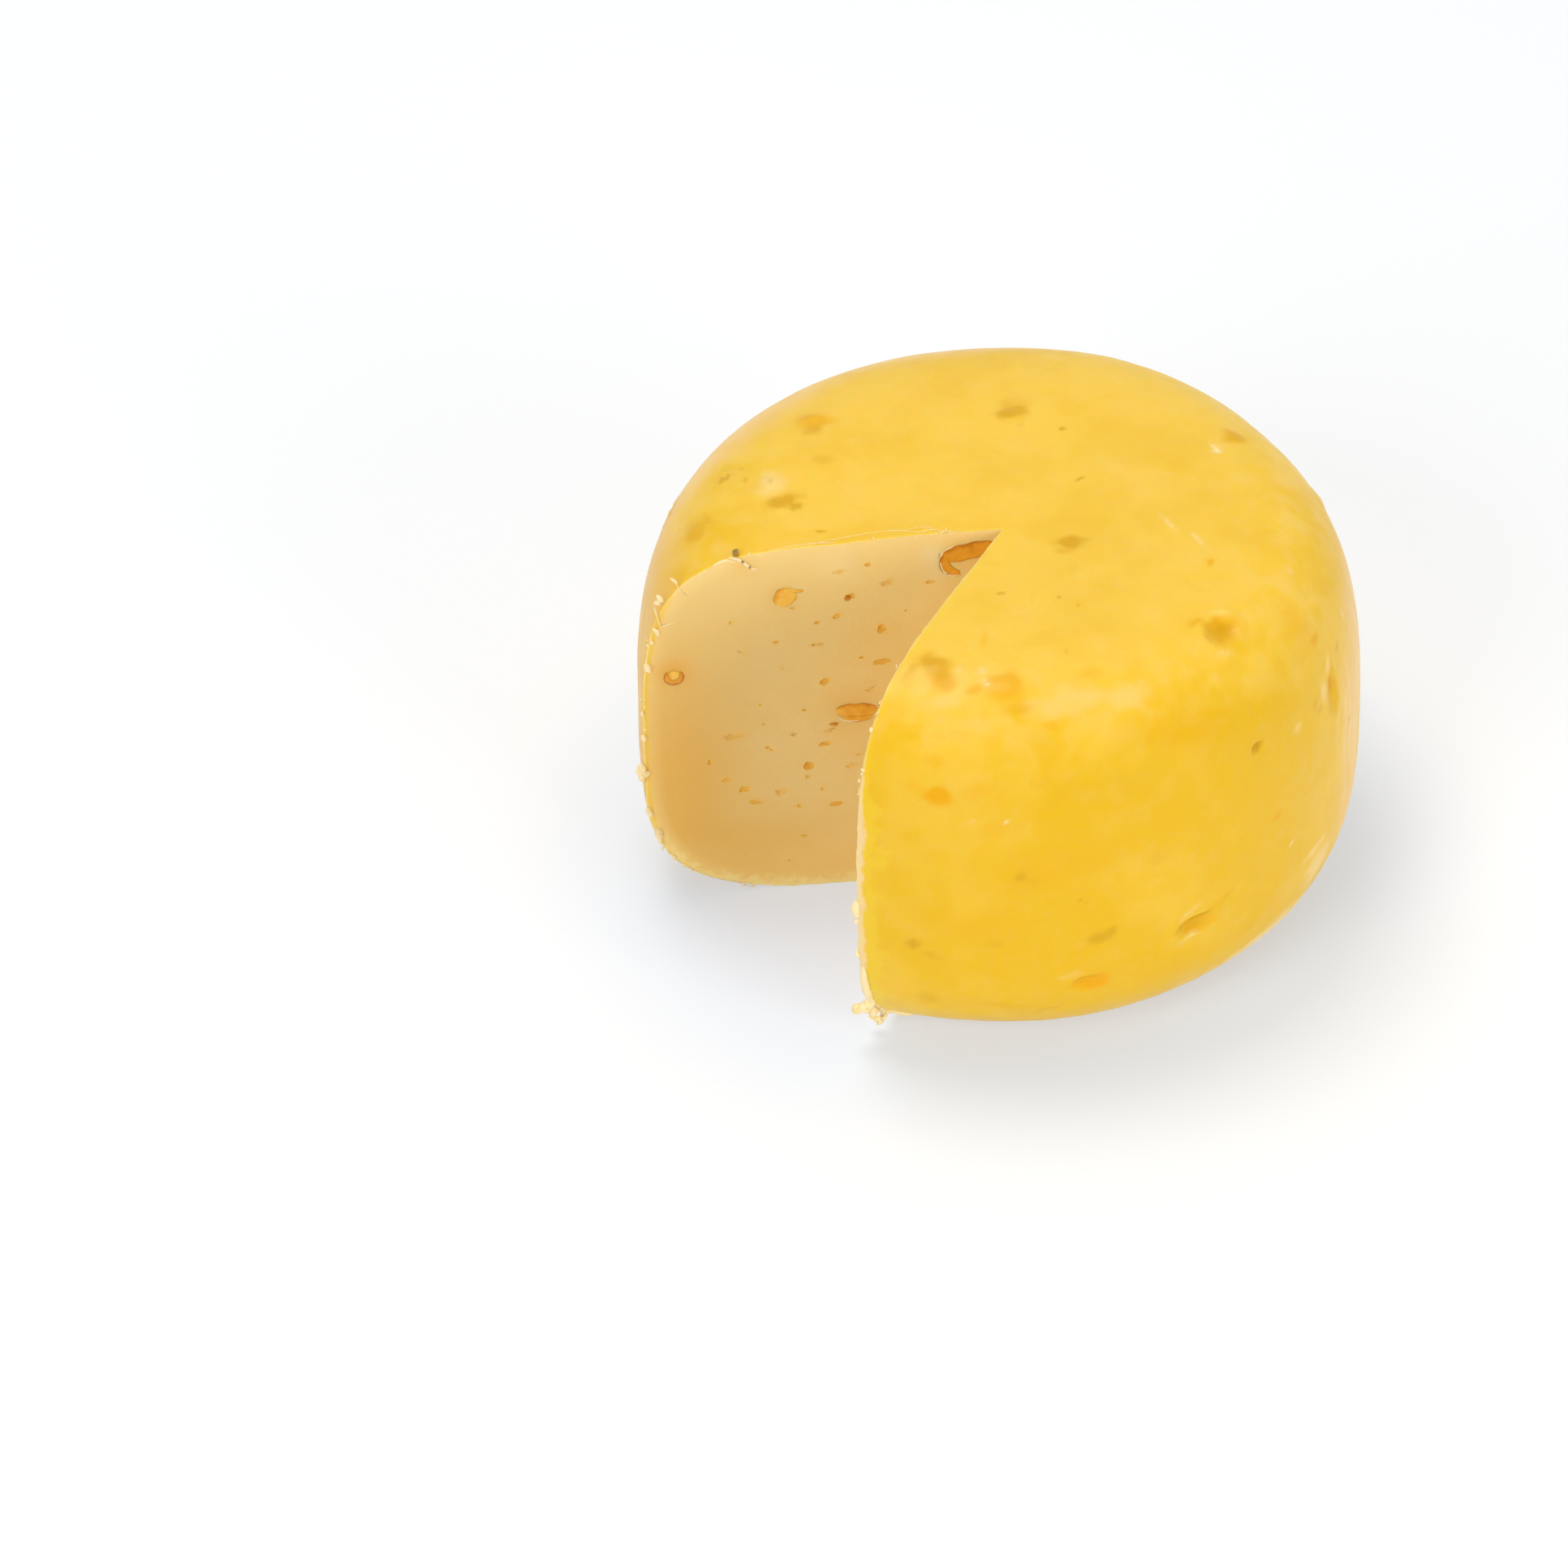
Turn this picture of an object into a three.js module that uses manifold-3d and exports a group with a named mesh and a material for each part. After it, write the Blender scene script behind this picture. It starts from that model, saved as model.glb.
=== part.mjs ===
// A baby gouda with fenugreek seed: a small round cheese with a wedge cut out of it.
// Millimetres, +Z up. The origin is on the floor, under the middle of the cheese.
// An azimuth is counted in degrees from -Y towards +X, and the wedge is missing between -X and -Y.
import * as THREE from 'three';
import { mergeVertices } from 'three/addons/utils/BufferGeometryUtils.js';
import Module from 'manifold-3d';

const wasm = await Module();
wasm.setup();

// Size and form of the whole cheese
const RADIUS = 52.5;
const CROWN = 37.1; // from the widest place up to the top
const FOOT = 26.9; // from the widest place down to the lowest point, before it settles
const TOP_FORM = { flatness: 7, squareness: 3.1 };
const FOOT_FORM = { flatness: 5.9, squareness: 3.1 };
const REST_RADIUS = 31; // the flat spot that the cheese has settled on
const OVAL = 0.015; // share by which it is out of round
const OVAL_AZIMUTH = 110; // where it is longest
const AROUND = 80; // faces round the cheese
const DOWN = 34; // faces from the middle of the top to the middle of the base
const CORNER_WEIGHT = 24; // how much closer the faces stand where the profile bends

// Slow unevenness of a cheese pressed by hand: size in mm, waves along X, Y and Z, and the phase in degrees
const UNEVENNESS = [
  { size: 0.26, wave: new THREE.Vector3(3.1, 1.2, 0.8), phase: 40 },
  { size: 0.2, wave: new THREE.Vector3(-1.5, 4.2, 2), phase: 205 },
  { size: 0.15, wave: new THREE.Vector3(6.5, -3, 3.5), phase: 310 },
  { size: 0.1, wave: new THREE.Vector3(-5, 8.5, -6), phase: 95 },
];
const EVEN_BELOW = [-50, -20]; // tilts between which the unevenness dies out towards the base

// The missing wedge: both cuts run straight down from one corner, just in front of the middle
const CORNER = new THREE.Vector2(0.6, -5.5);
const LEFT_CUT_AZIMUTH = -85.3;
const RIGHT_CUT_AZIMUTH = -27.6;
const WEDGE_LENGTH = 90;
const WEDGE_OVERRUN = 5;

// A fenugreek seed swollen by the whey: length, width and thickness
const SEED = { length: 5.6, width: 3, thickness: 2.4 };
const SEED_SEAT_GAP = 0.25; // the curd stands off a seed that a knife has met
const SEED_SEAT_DEPTH = 0.9;
const SEED_STANDS_OUT = 0.15;
const SMALL_SEED_FULLNESS = 1.2; // a seed that was cut across its end is short but keeps most of its width

// Seeds in the cut faces: distance from the corner, height, turn in the face in degrees, and size
const LEFT_SEEDS = [
  { along: 5, up: 60, turn: 28, size: 1.25 },
  { along: 32, up: 54.5, turn: 15, size: 0.62 },
  { along: 48, up: 41.5, turn: 80, size: 0.55 },
  { along: 21.5, up: 32.5, turn: 4, size: 1.15 },
];
const RIGHT_SEEDS = [
  { along: 9, up: 21, turn: 70, size: 0.95 },
  { along: 17.5, up: 50.5, turn: -35, size: 0.6 },
  { along: 27, up: 12, turn: 12, size: 1.05 },
  { along: 33.5, up: 39, turn: 100, size: 0.7 },
  { along: 41, up: 26, turn: -20, size: 0.9 },
];

// Small holes in the curd that are big enough to see from a step away
const LEFT_HOLES = [
  { along: 39, up: 29, length: 3.4, width: 1.3, turn: 10 },
  { along: 22, up: 53.5, length: 1.5, width: 1, turn: 0 },
  { along: 17.5, up: 47, length: 1.9, width: 1.3, turn: 75 },
  { along: 16.5, up: 55.5, length: 2, width: 0.9, turn: 35 },
  { along: 17.5, up: 41, length: 2.6, width: 1.2, turn: 5 },
  { along: 26, up: 38, length: 1.8, width: 1, turn: 50 },
  { along: 24.5, up: 30, length: 1.4, width: 1, turn: 0 },
  { along: 26, up: 26.5, length: 1.9, width: 0.9, turn: 8 },
  { along: 28.5, up: 22.5, length: 1.7, width: 1.4, turn: 45 },
  { along: 22, up: 22, length: 1.6, width: 1, turn: 20 },
  { along: 40.5, up: 21, length: 2, width: 0.9, turn: 12 },
  { along: 38, up: 19, length: 2, width: 1.1, turn: 15 },
  { along: 32.5, up: 18, length: 1.8, width: 1.4, turn: 30 },
  { along: 36.5, up: 16.5, length: 2.6, width: 1, turn: -20 },
  { along: 24.5, up: 15, length: 1.9, width: 0.9, turn: 5 },
  { along: 23.5, up: 58, length: 1.8, width: 0.8, turn: 10 },
  { along: 24, up: 50, length: 1.6, width: 0.8, turn: 40 },
];
const HOLE_DEPTH_SHARE = 0.9; // of the hole's width
const RIGHT_HOLE_COUNT = 18;
const RIGHT_HOLE_FIELD = { along: [8, 44], up: [9, 52] };
const RIGHT_HOLE_LENGTH = [1.6, 3.2];
const RIGHT_HOLE_WIDTH = [0.9, 1.5];
const RIGHT_HOLE_TURN = [-15, 75];
const HOLE_CLEARANCE = 4.2; // between the middles of two things in one face

// Marks in the rind: azimuth and tilt above the widest place in degrees, and size across and up the rind
const DENTS = [
  { azimuth: 49, tilt: 40, across: 5.2, up: 3.8, depth: 1 },
  { azimuth: 67, tilt: 19, across: 3, up: 8, depth: 0.8 },
  { azimuth: 32, tilt: -6, across: 6.6, up: 3.4, depth: 1 },
  { azimuth: 13, tilt: -12, across: 5.6, up: 2.8, depth: 0.8 },
  { azimuth: 45, tilt: 22, across: 2.8, up: 1.8, depth: 0.6 },
];
const SWELLINGS = [
  { azimuth: -15, tilt: 44, across: 6, up: 4.6, depth: 0.35 },
  { azimuth: 0, tilt: 41, across: 6.4, up: 5, depth: 0.35 },
  { azimuth: 118, tilt: 42, across: 4.8, up: 3.4, depth: 0.4 },
  { azimuth: -101, tilt: 48, across: 4.6, up: 4.2, depth: 0.4 },
  { azimuth: -130, tilt: 46, across: 4.4, up: 3.6, depth: 0.35 },
  { azimuth: 174, tilt: 60, across: 4.6, up: 3.2, depth: 0.3 },
  { azimuth: -90, tilt: 38, across: 4.8, up: 3.2, depth: 0.3 },
];
// The same marks on the side that faces away, spread by a rule
const BACK_MARK_COUNT = 12;
const BACK_AZIMUTHS = [100, 262];
const BACK_TILTS = [-24, 30];
const BACK_MARK_ACROSS = [4, 6.4];
const BACK_MARK_UP = [2.6, 4.2];
const BACK_MARK_DEPTH = [0.3, 0.9];
const BACK_MARK_PLACE = [0.2, 0.8]; // of its own share of the way round
// A mark is cut or raised by a flat lump that is a little wider, and thicker than the mark is deep
const LUMP_SPREAD = 1.35;
const LUMP_THICKNESS = 5;

// Crumbs of curd and coating that the knife has pulled up along the outer edges of the cuts, by height
const LEFT_BURRS = [
  { up: 24.5, size: 1.6 },
  { up: 31.5, size: 0.9 },
  { up: 35.5, size: 0.8 },
  { up: 43.5, size: 0.9 },
  { up: 55.5, size: 1 },
  { up: 16, size: 1.3 },
  { up: 12.5, size: 1.1 },
  { up: 6.5, size: 1 },
];
const RIGHT_BURRS = [
  { up: 3, size: 1.8 },
  { up: 5, size: 1.5 },
  { up: 9, size: 1.1 },
  { up: 26, size: 1.2 },
  { up: 19.5, size: 0.9 },
  { up: 57, size: 0.9 },
];

// Faces round and along the small forms
const SEED_FACES = [6, 4];
const HOLE_FACES = [6, 4];
const MARK_FACES = [8, 5];

// Fineness of the searches and of the profile before its corners are chosen
const HALVINGS = 40;
const PROFILE_SAMPLES = 1600;
const MERGE_DISTANCE = 1e-4;
const SLOPE_STEP = 0.02; // in radians, to either side, for the slope of the rind

const radians = THREE.MathUtils.degToRad;

// One seeded draw between two limits, from a linear congruence
const DRAW_RANGE = 2 ** 32;
const DRAW_FACTOR = 1664525;
const DRAW_STEP = 1013904223;
let drawState = 41;
function draw([low, high]) {
  drawState = (drawState * DRAW_FACTOR + DRAW_STEP) % DRAW_RANGE;
  return low + (high - low) * (drawState / DRAW_RANGE);
}

// How far the profile reaches from the middle of the widest place, at a tilt in radians
function profileReach(tilt) {
  const out = Math.abs(Math.cos(tilt)) / RADIUS;
  const rise = Math.abs(Math.sin(tilt)) / (tilt > 0 ? CROWN : FOOT);
  const form = tilt > 0 ? TOP_FORM : FOOT_FORM;
  let near = 0;
  let far = RADIUS + CROWN;
  for (let step = 0; step < HALVINGS; step++) {
    const middle = (near + far) / 2;
    const filled = (middle * out) ** form.flatness + (middle * rise) ** form.squareness;
    if (filled < 1) {
      near = middle;
    } else {
      far = middle;
    }
  }
  return near;
}

// Height of the flat spot under the widest place
const REST_DROP = FOOT * (1 - (REST_RADIUS / RADIUS) ** FOOT_FORM.flatness) ** (1 / FOOT_FORM.squareness);

// A point of the rind, with the unevenness and the flat spot
function rindPoint(azimuth, tilt) {
  const flat = Math.cos(tilt);
  const outward = new THREE.Vector3(flat * Math.sin(azimuth), -flat * Math.cos(azimuth), Math.sin(tilt));
  const share = THREE.MathUtils.smoothstep(tilt, radians(EVEN_BELOW[0]), radians(EVEN_BELOW[1]));
  let reach = profileReach(tilt);
  for (const { size, wave, phase } of UNEVENNESS) {
    reach += share * size * Math.sin(wave.dot(outward) + radians(phase));
  }
  const oval = 1 + OVAL * Math.cos(2 * (azimuth - radians(OVAL_AZIMUTH)));
  const height = Math.max(reach * outward.z, -REST_DROP) + REST_DROP;
  return new THREE.Vector3(reach * outward.x * oval, reach * outward.y * oval, height);
}

// The tilts of the profile's corners, closest together where it bends
function profileTilts() {
  const fine = PROFILE_SAMPLES;
  const tilts = [];
  const points = [];
  for (let step = 0; step <= fine; step++) {
    const tilt = Math.PI / 2 - (Math.PI * step) / fine;
    const reach = profileReach(tilt);
    tilts.push(tilt);
    points.push(new THREE.Vector2(reach * Math.cos(tilt), reach * Math.sin(tilt)));
  }
  const weights = [0];
  for (let step = 1; step < fine; step++) {
    const before = points[step].clone().sub(points[step - 1]);
    const after = points[step + 1].clone().sub(points[step]);
    const bend = Math.abs(before.cross(after)) / (before.length() * after.length());
    weights.push(weights[step - 1] + before.length() + CORNER_WEIGHT * bend);
  }
  weights.push(weights[fine - 1] + points[fine].distanceTo(points[fine - 1]));
  const chosen = [];
  let step = 0;
  for (let corner = 0; corner <= DOWN; corner++) {
    const target = (weights[fine] * corner) / DOWN;
    while (step < fine && weights[step] < target) {
      step += 1;
    }
    chosen.push(tilts[step]);
  }
  return chosen;
}

// The whole cheese before it is cut: a turned body, pushed out of round
function wholeCheese() {
  const tilts = profileTilts().reverse();
  const profile = tilts.map((tilt) => {
    const reach = profileReach(tilt);
    return new THREE.Vector2(reach * Math.cos(tilt), reach * Math.sin(tilt));
  });
  profile[0].x = 0;
  profile[DOWN].x = 0;
  const geometry = new THREE.LatheGeometry(profile, AROUND);
  const position = geometry.attributes.position;
  for (let turn = 0; turn <= AROUND; turn++) {
    const azimuth = (2 * Math.PI * (turn % AROUND)) / AROUND;
    for (let corner = 0; corner <= DOWN; corner++) {
      const point = rindPoint(azimuth, tilts[corner]);
      const out = corner === 0 || corner === DOWN ? 0 : 1;
      position.setXYZ(turn * (DOWN + 1) + corner, point.x * out, point.y * out, point.z);
    }
  }
  return geometry;
}

// A closed body from a geometry, for cutting and joining
function solidOf(geometry) {
  const bare = geometry.clone();
  bare.deleteAttribute('normal');
  bare.deleteAttribute('uv');
  const merged = mergeVertices(bare, MERGE_DISTANCE);
  const triVerts = new Uint32Array(merged.index.array);
  const vertProperties = new Float32Array(merged.attributes.position.array);
  return new wasm.Manifold(new wasm.Mesh({ numProp: 3, vertProperties, triVerts }));
}

// A geometry for drawing from a closed body
function geometryOf(solid) {
  const mesh = solid.getMesh();
  const geometry = new THREE.BufferGeometry();
  geometry.setAttribute('position', new THREE.BufferAttribute(new Float32Array(mesh.vertProperties), 3));
  geometry.setIndex(new THREE.BufferAttribute(new Uint32Array(mesh.triVerts), 1));
  geometry.computeVertexNormals();
  return geometry;
}

// A rounded lump with three sizes from edge to edge, put in place by a matrix
function lump(faces, length, width, thickness, matrix) {
  const geometry = new THREE.SphereGeometry(0.5, faces[0], faces[1]);
  geometry.rotateX(Math.PI / 2);
  geometry.scale(length, width, thickness);
  geometry.applyMatrix4(matrix);
  return solidOf(geometry);
}

// The direction of a cut, seen from above
function cutDirection(azimuth) {
  return new THREE.Vector2(Math.sin(radians(azimuth)), -Math.cos(radians(azimuth)));
}

// A place on a cut face, for someone who looks at it: X to the right, Y up, and Z out of the curd
function facePlace(cut, item, depth) {
  const direction = cutDirection(cut.azimuth);
  const along = new THREE.Vector3(direction.x, direction.y, 0);
  const up = new THREE.Vector3(0, 0, 1);
  const outward = along.clone().cross(up).multiplyScalar(cut.side);
  const across = up.clone().cross(outward);
  const matrix = new THREE.Matrix4().makeBasis(across, up, outward);
  const place = new THREE.Vector3(CORNER.x, CORNER.y, 0);
  place.addScaledVector(along, item.along).addScaledVector(up, item.up).addScaledVector(outward, -depth);
  matrix.setPosition(place);
  return matrix.multiply(new THREE.Matrix4().makeRotationZ(radians(item.turn ?? 0)));
}

// How far a cut runs from the corner to the rind, at a height
function rimDistance(cut, up) {
  const direction = cutDirection(cut.azimuth);
  let near = 0;
  let far = WEDGE_LENGTH;
  for (let step = 0; step < HALVINGS; step++) {
    const middle = (near + far) / 2;
    const spot = CORNER.clone().addScaledVector(direction, middle);
    const tilt = Math.atan2(up - REST_DROP, spot.length());
    const rind = rindPoint(Math.atan2(spot.x, -spot.y), tilt);
    if (spot.length() < Math.hypot(rind.x, rind.y)) {
      near = middle;
    } else {
      far = middle;
    }
  }
  return near;
}

// A place on the rind: X round the cheese, Y up the rind and Z out of it
function rindPlace(mark, depth) {
  const azimuth = radians(mark.azimuth);
  const tilt = radians(mark.tilt);
  const step = SLOPE_STEP;
  const round = rindPoint(azimuth + step, tilt).sub(rindPoint(azimuth - step, tilt)).normalize();
  const up = rindPoint(azimuth, tilt + step).sub(rindPoint(azimuth, tilt - step)).normalize();
  const outward = round.clone().cross(up).normalize();
  const matrix = new THREE.Matrix4().makeBasis(round, outward.clone().cross(round), outward);
  return matrix.setPosition(rindPoint(azimuth, tilt).addScaledVector(outward, -depth));
}

// The missing wedge as a block, longer and taller than the cheese
function wedgeBlock() {
  const outline = new THREE.Shape([
    CORNER,
    CORNER.clone().addScaledVector(cutDirection(LEFT_CUT_AZIMUTH), WEDGE_LENGTH),
    CORNER.clone().addScaledVector(cutDirection(RIGHT_CUT_AZIMUTH), WEDGE_LENGTH),
  ]);
  const depth = CROWN + FOOT + 2 * WEDGE_OVERRUN;
  const geometry = new THREE.ExtrudeGeometry(outline, { depth, bevelEnabled: false });
  geometry.translate(0, 0, -WEDGE_OVERRUN);
  return solidOf(geometry);
}

// Holes for the face that shows less, clear of its seeds and of each other
function scatteredHoles(seeds) {
  const taken = seeds.map((seed) => new THREE.Vector2(seed.along, seed.up));
  const holes = [];
  while (holes.length < RIGHT_HOLE_COUNT) {
    const spot = new THREE.Vector2(draw(RIGHT_HOLE_FIELD.along), draw(RIGHT_HOLE_FIELD.up));
    if (taken.every((other) => other.distanceTo(spot) > HOLE_CLEARANCE)) {
      taken.push(spot);
      holes.push({
        along: spot.x,
        up: spot.y,
        length: draw(RIGHT_HOLE_LENGTH),
        width: draw(RIGHT_HOLE_WIDTH),
        turn: draw(RIGHT_HOLE_TURN),
      });
    }
  }
  return holes;
}

// Marks for the side that faces away, evenly round it
function backMarks() {
  const marks = [];
  const pitch = (BACK_AZIMUTHS[1] - BACK_AZIMUTHS[0]) / BACK_MARK_COUNT;
  for (let count = 0; count < BACK_MARK_COUNT; count++) {
    marks.push({
      azimuth: BACK_AZIMUTHS[0] + pitch * (count + draw(BACK_MARK_PLACE)),
      tilt: draw(BACK_TILTS),
      across: draw(BACK_MARK_ACROSS),
      up: draw(BACK_MARK_UP),
      depth: draw(BACK_MARK_DEPTH),
    });
  }
  return marks;
}

// A dent is the low end of a flat lump, and a swelling is its high end
function markLump(mark, isDent) {
  const thickness = LUMP_THICKNESS * mark.depth;
  const depth = isDent ? mark.depth - thickness / 2 : thickness / 2 - mark.depth;
  const place = rindPlace(mark, depth);
  return lump(MARK_FACES, mark.across * LUMP_SPREAD, mark.up * LUMP_SPREAD, thickness, place);
}

// A cut face gets its holes, the seats of its seeds, and then the seeds themselves
function dressFace(cheese, cut, seeds, holes, burrs) {
  let dressed = cheese;
  for (const hole of holes) {
    const depth = 2 * HOLE_DEPTH_SHARE * hole.width;
    dressed = dressed.subtract(lump(HOLE_FACES, hole.length, hole.width, depth, facePlace(cut, hole, 0)));
  }
  for (const seed of seeds) {
    const length = SEED.length * seed.size;
    const width = SEED.width * Math.min(1, seed.size * SMALL_SEED_FULLNESS);
    const seatLength = length + 2 * SEED_SEAT_GAP;
    const seatWidth = width + 2 * SEED_SEAT_GAP;
    const seat = lump(HOLE_FACES, seatLength, seatWidth, 2 * SEED_SEAT_DEPTH, facePlace(cut, seed, 0));
    const sunk = SEED.thickness / 2 - SEED_STANDS_OUT;
    const body = lump(SEED_FACES, length, width, SEED.thickness, facePlace(cut, seed, sunk));
    dressed = dressed.subtract(seat).add(body);
  }
  for (const burr of burrs) {
    const geometry = new THREE.IcosahedronGeometry(burr.size / 2, 0);
    const place = { along: rimDistance(cut, burr.up), up: burr.up };
    geometry.applyMatrix4(facePlace(cut, place, 0));
    dressed = dressed.add(solidOf(geometry));
  }
  return dressed;
}

// Dents and swellings all round the rind
function dressRind(cheese) {
  const back = backMarks();
  let dressed = cheese;
  for (const mark of [...SWELLINGS, ...back.filter((_, count) => count % 2 === 0)]) {
    dressed = dressed.add(markLump(mark, false));
  }
  for (const mark of [...DENTS, ...back.filter((_, count) => count % 2 === 1)]) {
    dressed = dressed.subtract(markLump(mark, true));
  }
  return dressed;
}

// The finished cheese, with the middle of its outer box over the origin
function cutCheese() {
  const leftCut = { azimuth: LEFT_CUT_AZIMUTH, side: -1 };
  const rightCut = { azimuth: RIGHT_CUT_AZIMUTH, side: 1 };
  let cheese = dressRind(solidOf(wholeCheese())).subtract(wedgeBlock());
  cheese = dressFace(cheese, leftCut, LEFT_SEEDS, LEFT_HOLES, LEFT_BURRS);
  cheese = dressFace(cheese, rightCut, RIGHT_SEEDS, scatteredHoles(RIGHT_SEEDS), RIGHT_BURRS);
  const geometry = geometryOf(cheese);
  geometry.computeBoundingBox();
  const middle = geometry.boundingBox.getCenter(new THREE.Vector3());
  geometry.translate(-middle.x, -middle.y, 0);
  return geometry;
}

const cheese = new THREE.Mesh(
  cutCheese(),
  new THREE.MeshStandardMaterial({ color: 0xf6c63c, roughness: 0.42, metalness: 0 }),
);
cheese.name = 'cheese_wheel';

const group = new THREE.Group();
group.name = 'fenugreek_baby_gouda';
group.add(cheese);

export default group;
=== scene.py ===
"""Fenugreek baby gouda: a small round cheese with a wedge cut out of it.

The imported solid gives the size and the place. This file makes the fine form and the finish round it: the
mottled yellow coating, the pale curd of the two cuts with its holes and cut seeds, and the crumbs on the
edges.
Lengths are in metres. An azimuth is counted from -Y towards +X, and a tilt from the widest place upwards.
"""
import math

import bmesh
import bpy
import numpy as np
from mathutils import Matrix, Vector, noise


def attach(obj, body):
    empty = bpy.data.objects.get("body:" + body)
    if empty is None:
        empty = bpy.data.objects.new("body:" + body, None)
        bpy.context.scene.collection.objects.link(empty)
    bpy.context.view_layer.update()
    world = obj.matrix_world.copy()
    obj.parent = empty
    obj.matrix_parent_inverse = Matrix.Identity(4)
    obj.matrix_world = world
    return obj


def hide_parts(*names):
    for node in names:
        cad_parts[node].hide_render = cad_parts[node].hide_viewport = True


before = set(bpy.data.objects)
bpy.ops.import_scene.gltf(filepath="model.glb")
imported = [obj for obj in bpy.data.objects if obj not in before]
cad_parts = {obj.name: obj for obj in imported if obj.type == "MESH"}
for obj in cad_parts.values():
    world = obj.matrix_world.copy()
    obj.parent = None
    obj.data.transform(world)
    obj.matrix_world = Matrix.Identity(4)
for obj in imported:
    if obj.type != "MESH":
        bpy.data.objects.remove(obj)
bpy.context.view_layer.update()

bl_info = {
    "name": "Fenugreek baby gouda",
    "version": (1, 0, 0),
    "blender": (4, 5, 0),
    "location": "3D View > Sidebar > Gouda",
    "description": "Makes a cut baby gouda with fenugreek seeds, its crumbs and a stage for it",
    "category": "Add Mesh",
}

MM = 0.001
BODY = "root"
WHEEL_NODE = "cheese_wheel"

# Slow unevenness of a cheese pressed by hand: size, waves along X, Y and Z, and phase in degrees
UNEVENNESS = (
    (0.26 * MM, (3.1, 1.2, 0.8), 40),
    (0.2 * MM, (-1.5, 4.2, 2.0), 205),
    (0.15 * MM, (6.5, -3.0, 3.5), 310),
    (0.1 * MM, (-5.0, 8.5, -6.0), 95),
)
EVEN_BELOW = (math.radians(-50), math.radians(-20))

# Fineness of the wheel's mesh
HALVINGS = 34
TABLE_STEPS = 3000
RAY_STEPS = 500
ROUND_STEPS = 286
EDGE_STEPS = (0.2, 0.4, 0.65, 0.9, 1.2, 1.6, 2.1, 2.8, 3.7)
PROFILE_STEPS = 196
FACE_STEPS = 58

# One seeded draw between two limits, from a linear congruence
DRAW_RANGE = 2 ** 32
DRAW_FACTOR = 1664525
DRAW_STEP = 1013904223
DRAW_START = 41

# How the knife met a seed, in mm with X to the right and Y up in the face. A section has its centre, half its
# length and width, its lean in degrees and how pointed it is. A strip has the centre, radius, first and last
# angle and width of its bend. The last number is how dark it is.
SEED_KINDS = {
    "husk": (
        ("section", (0, 0.1), (4.2, 1.5), 12, 0.7, 0.4),
        ("strip", (-1.2, -1.5), (2.2, 155, 272, 1.7), 0.5),
    ),
    "disc": (
        ("section", (0.45, -0.45), (1.75, 1.65), 60, 0.9, 0.12),
        ("strip", (2.6, 2.9), (2.4, 225, 282, 0.6), 0.15),
    ),
    "ring": (
        ("strip", (0.1, -0.6), (1.15, 140, 402, 0.95), 0.65),
        ("section", (0.1, -0.3), (0.75, 0.85), 90, 1.0, 0.0),
    ),
    "lens": (
        ("section", (0.1, -0.2), (3.0, 1.3), -2, 0.65, 0.3),
        ("strip", (4.2, 3.4), (3.4, 245, 274, 0.5), 0.5),
        ("strip", (0.3, 4.6), (6.4, 251, 289, 1.0), 0.3),
    ),
    "bark": (
        ("section", (0, 0), (0.45, 0.22), 25, 1.0, 1.8),
    ),
    "scrap": (
        ("section", (0, 0), (0.5, 0.35), 0, 1.0, 0.6),
    ),
}
# Seeds in the cut faces: distance from the corner, height, turn in the face, size, and how the knife met them
LEFT_SEEDS = (
    (5, 60, 0, 1, "husk"),
    (32, 54.5, 0, 1, "disc"),
    (48, 41.5, 0, 1, "ring"),
    (21.5, 32.5, 0, 1, "lens"),
    (38.5, 62.5, 0, 1, "bark"),
    (22.5, 53, 0, 1, "scrap"),
    (24.5, 30, 0, 0.9, "scrap"),
)
RIGHT_SEEDS = (
    (9, 21, 70, 0.85, "lens"),
    (17.5, 50.5, -35, 1.05, "ring"),
    (27, 12, 12, 0.9, "lens"),
    (33.5, 39, 100, 1.15, "disc"),
    (41, 26, -20, 0.8, "lens"),
)

# Where a seed has stained the curd, or has torn it pale with a share under 0: number of the cut, distance
# from the corner, height, size, and share
HALOS = (
    (0, 48, 41.5, 2.2, 0.75), (0, 32, 54.5, 2.2, 0.25), (0, 21.5, 33, 3.2, 0.3), (0, 6, 59.5, 3.5, 0.25),
    (0, 37.5, 60.5, 2, 0.2), (0, 10, 60, 1.8, -0.6), (0, 9.5, 57, 2, -0.5), (0, 24, 59.5, 3, -0.3),
    (1, 17.5, 50.5, 2.6, 0.4), (1, 33.5, 39, 2.4, 0.3),
)

# Holes in the left face: distance from the corner, height, length, width and turn
LEFT_HOLES = (
    (39, 29, 3.4, 1.3, 10), (22, 53.5, 1.5, 1, 0), (17.5, 47, 1.9, 1.3, 75), (16.5, 55.5, 2, 0.9, 35),
    (17.5, 41, 2.6, 1.2, 5), (26, 38, 1.8, 1, 50), (24.5, 30, 1.4, 1, 0), (26, 26.5, 1.9, 0.9, 8),
    (28.5, 22.5, 1.7, 1.4, 45), (22, 22, 1.6, 1, 20), (40.5, 21, 2, 0.9, 12), (38, 19, 2, 1.1, 15),
    (32.5, 18, 1.8, 1.4, 30), (36.5, 16.5, 2.6, 1, -20), (24.5, 15, 1.9, 0.9, 5), (23.5, 58, 1.8, 0.8, 10),
    (24, 50, 1.6, 0.8, 40),
)
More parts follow.
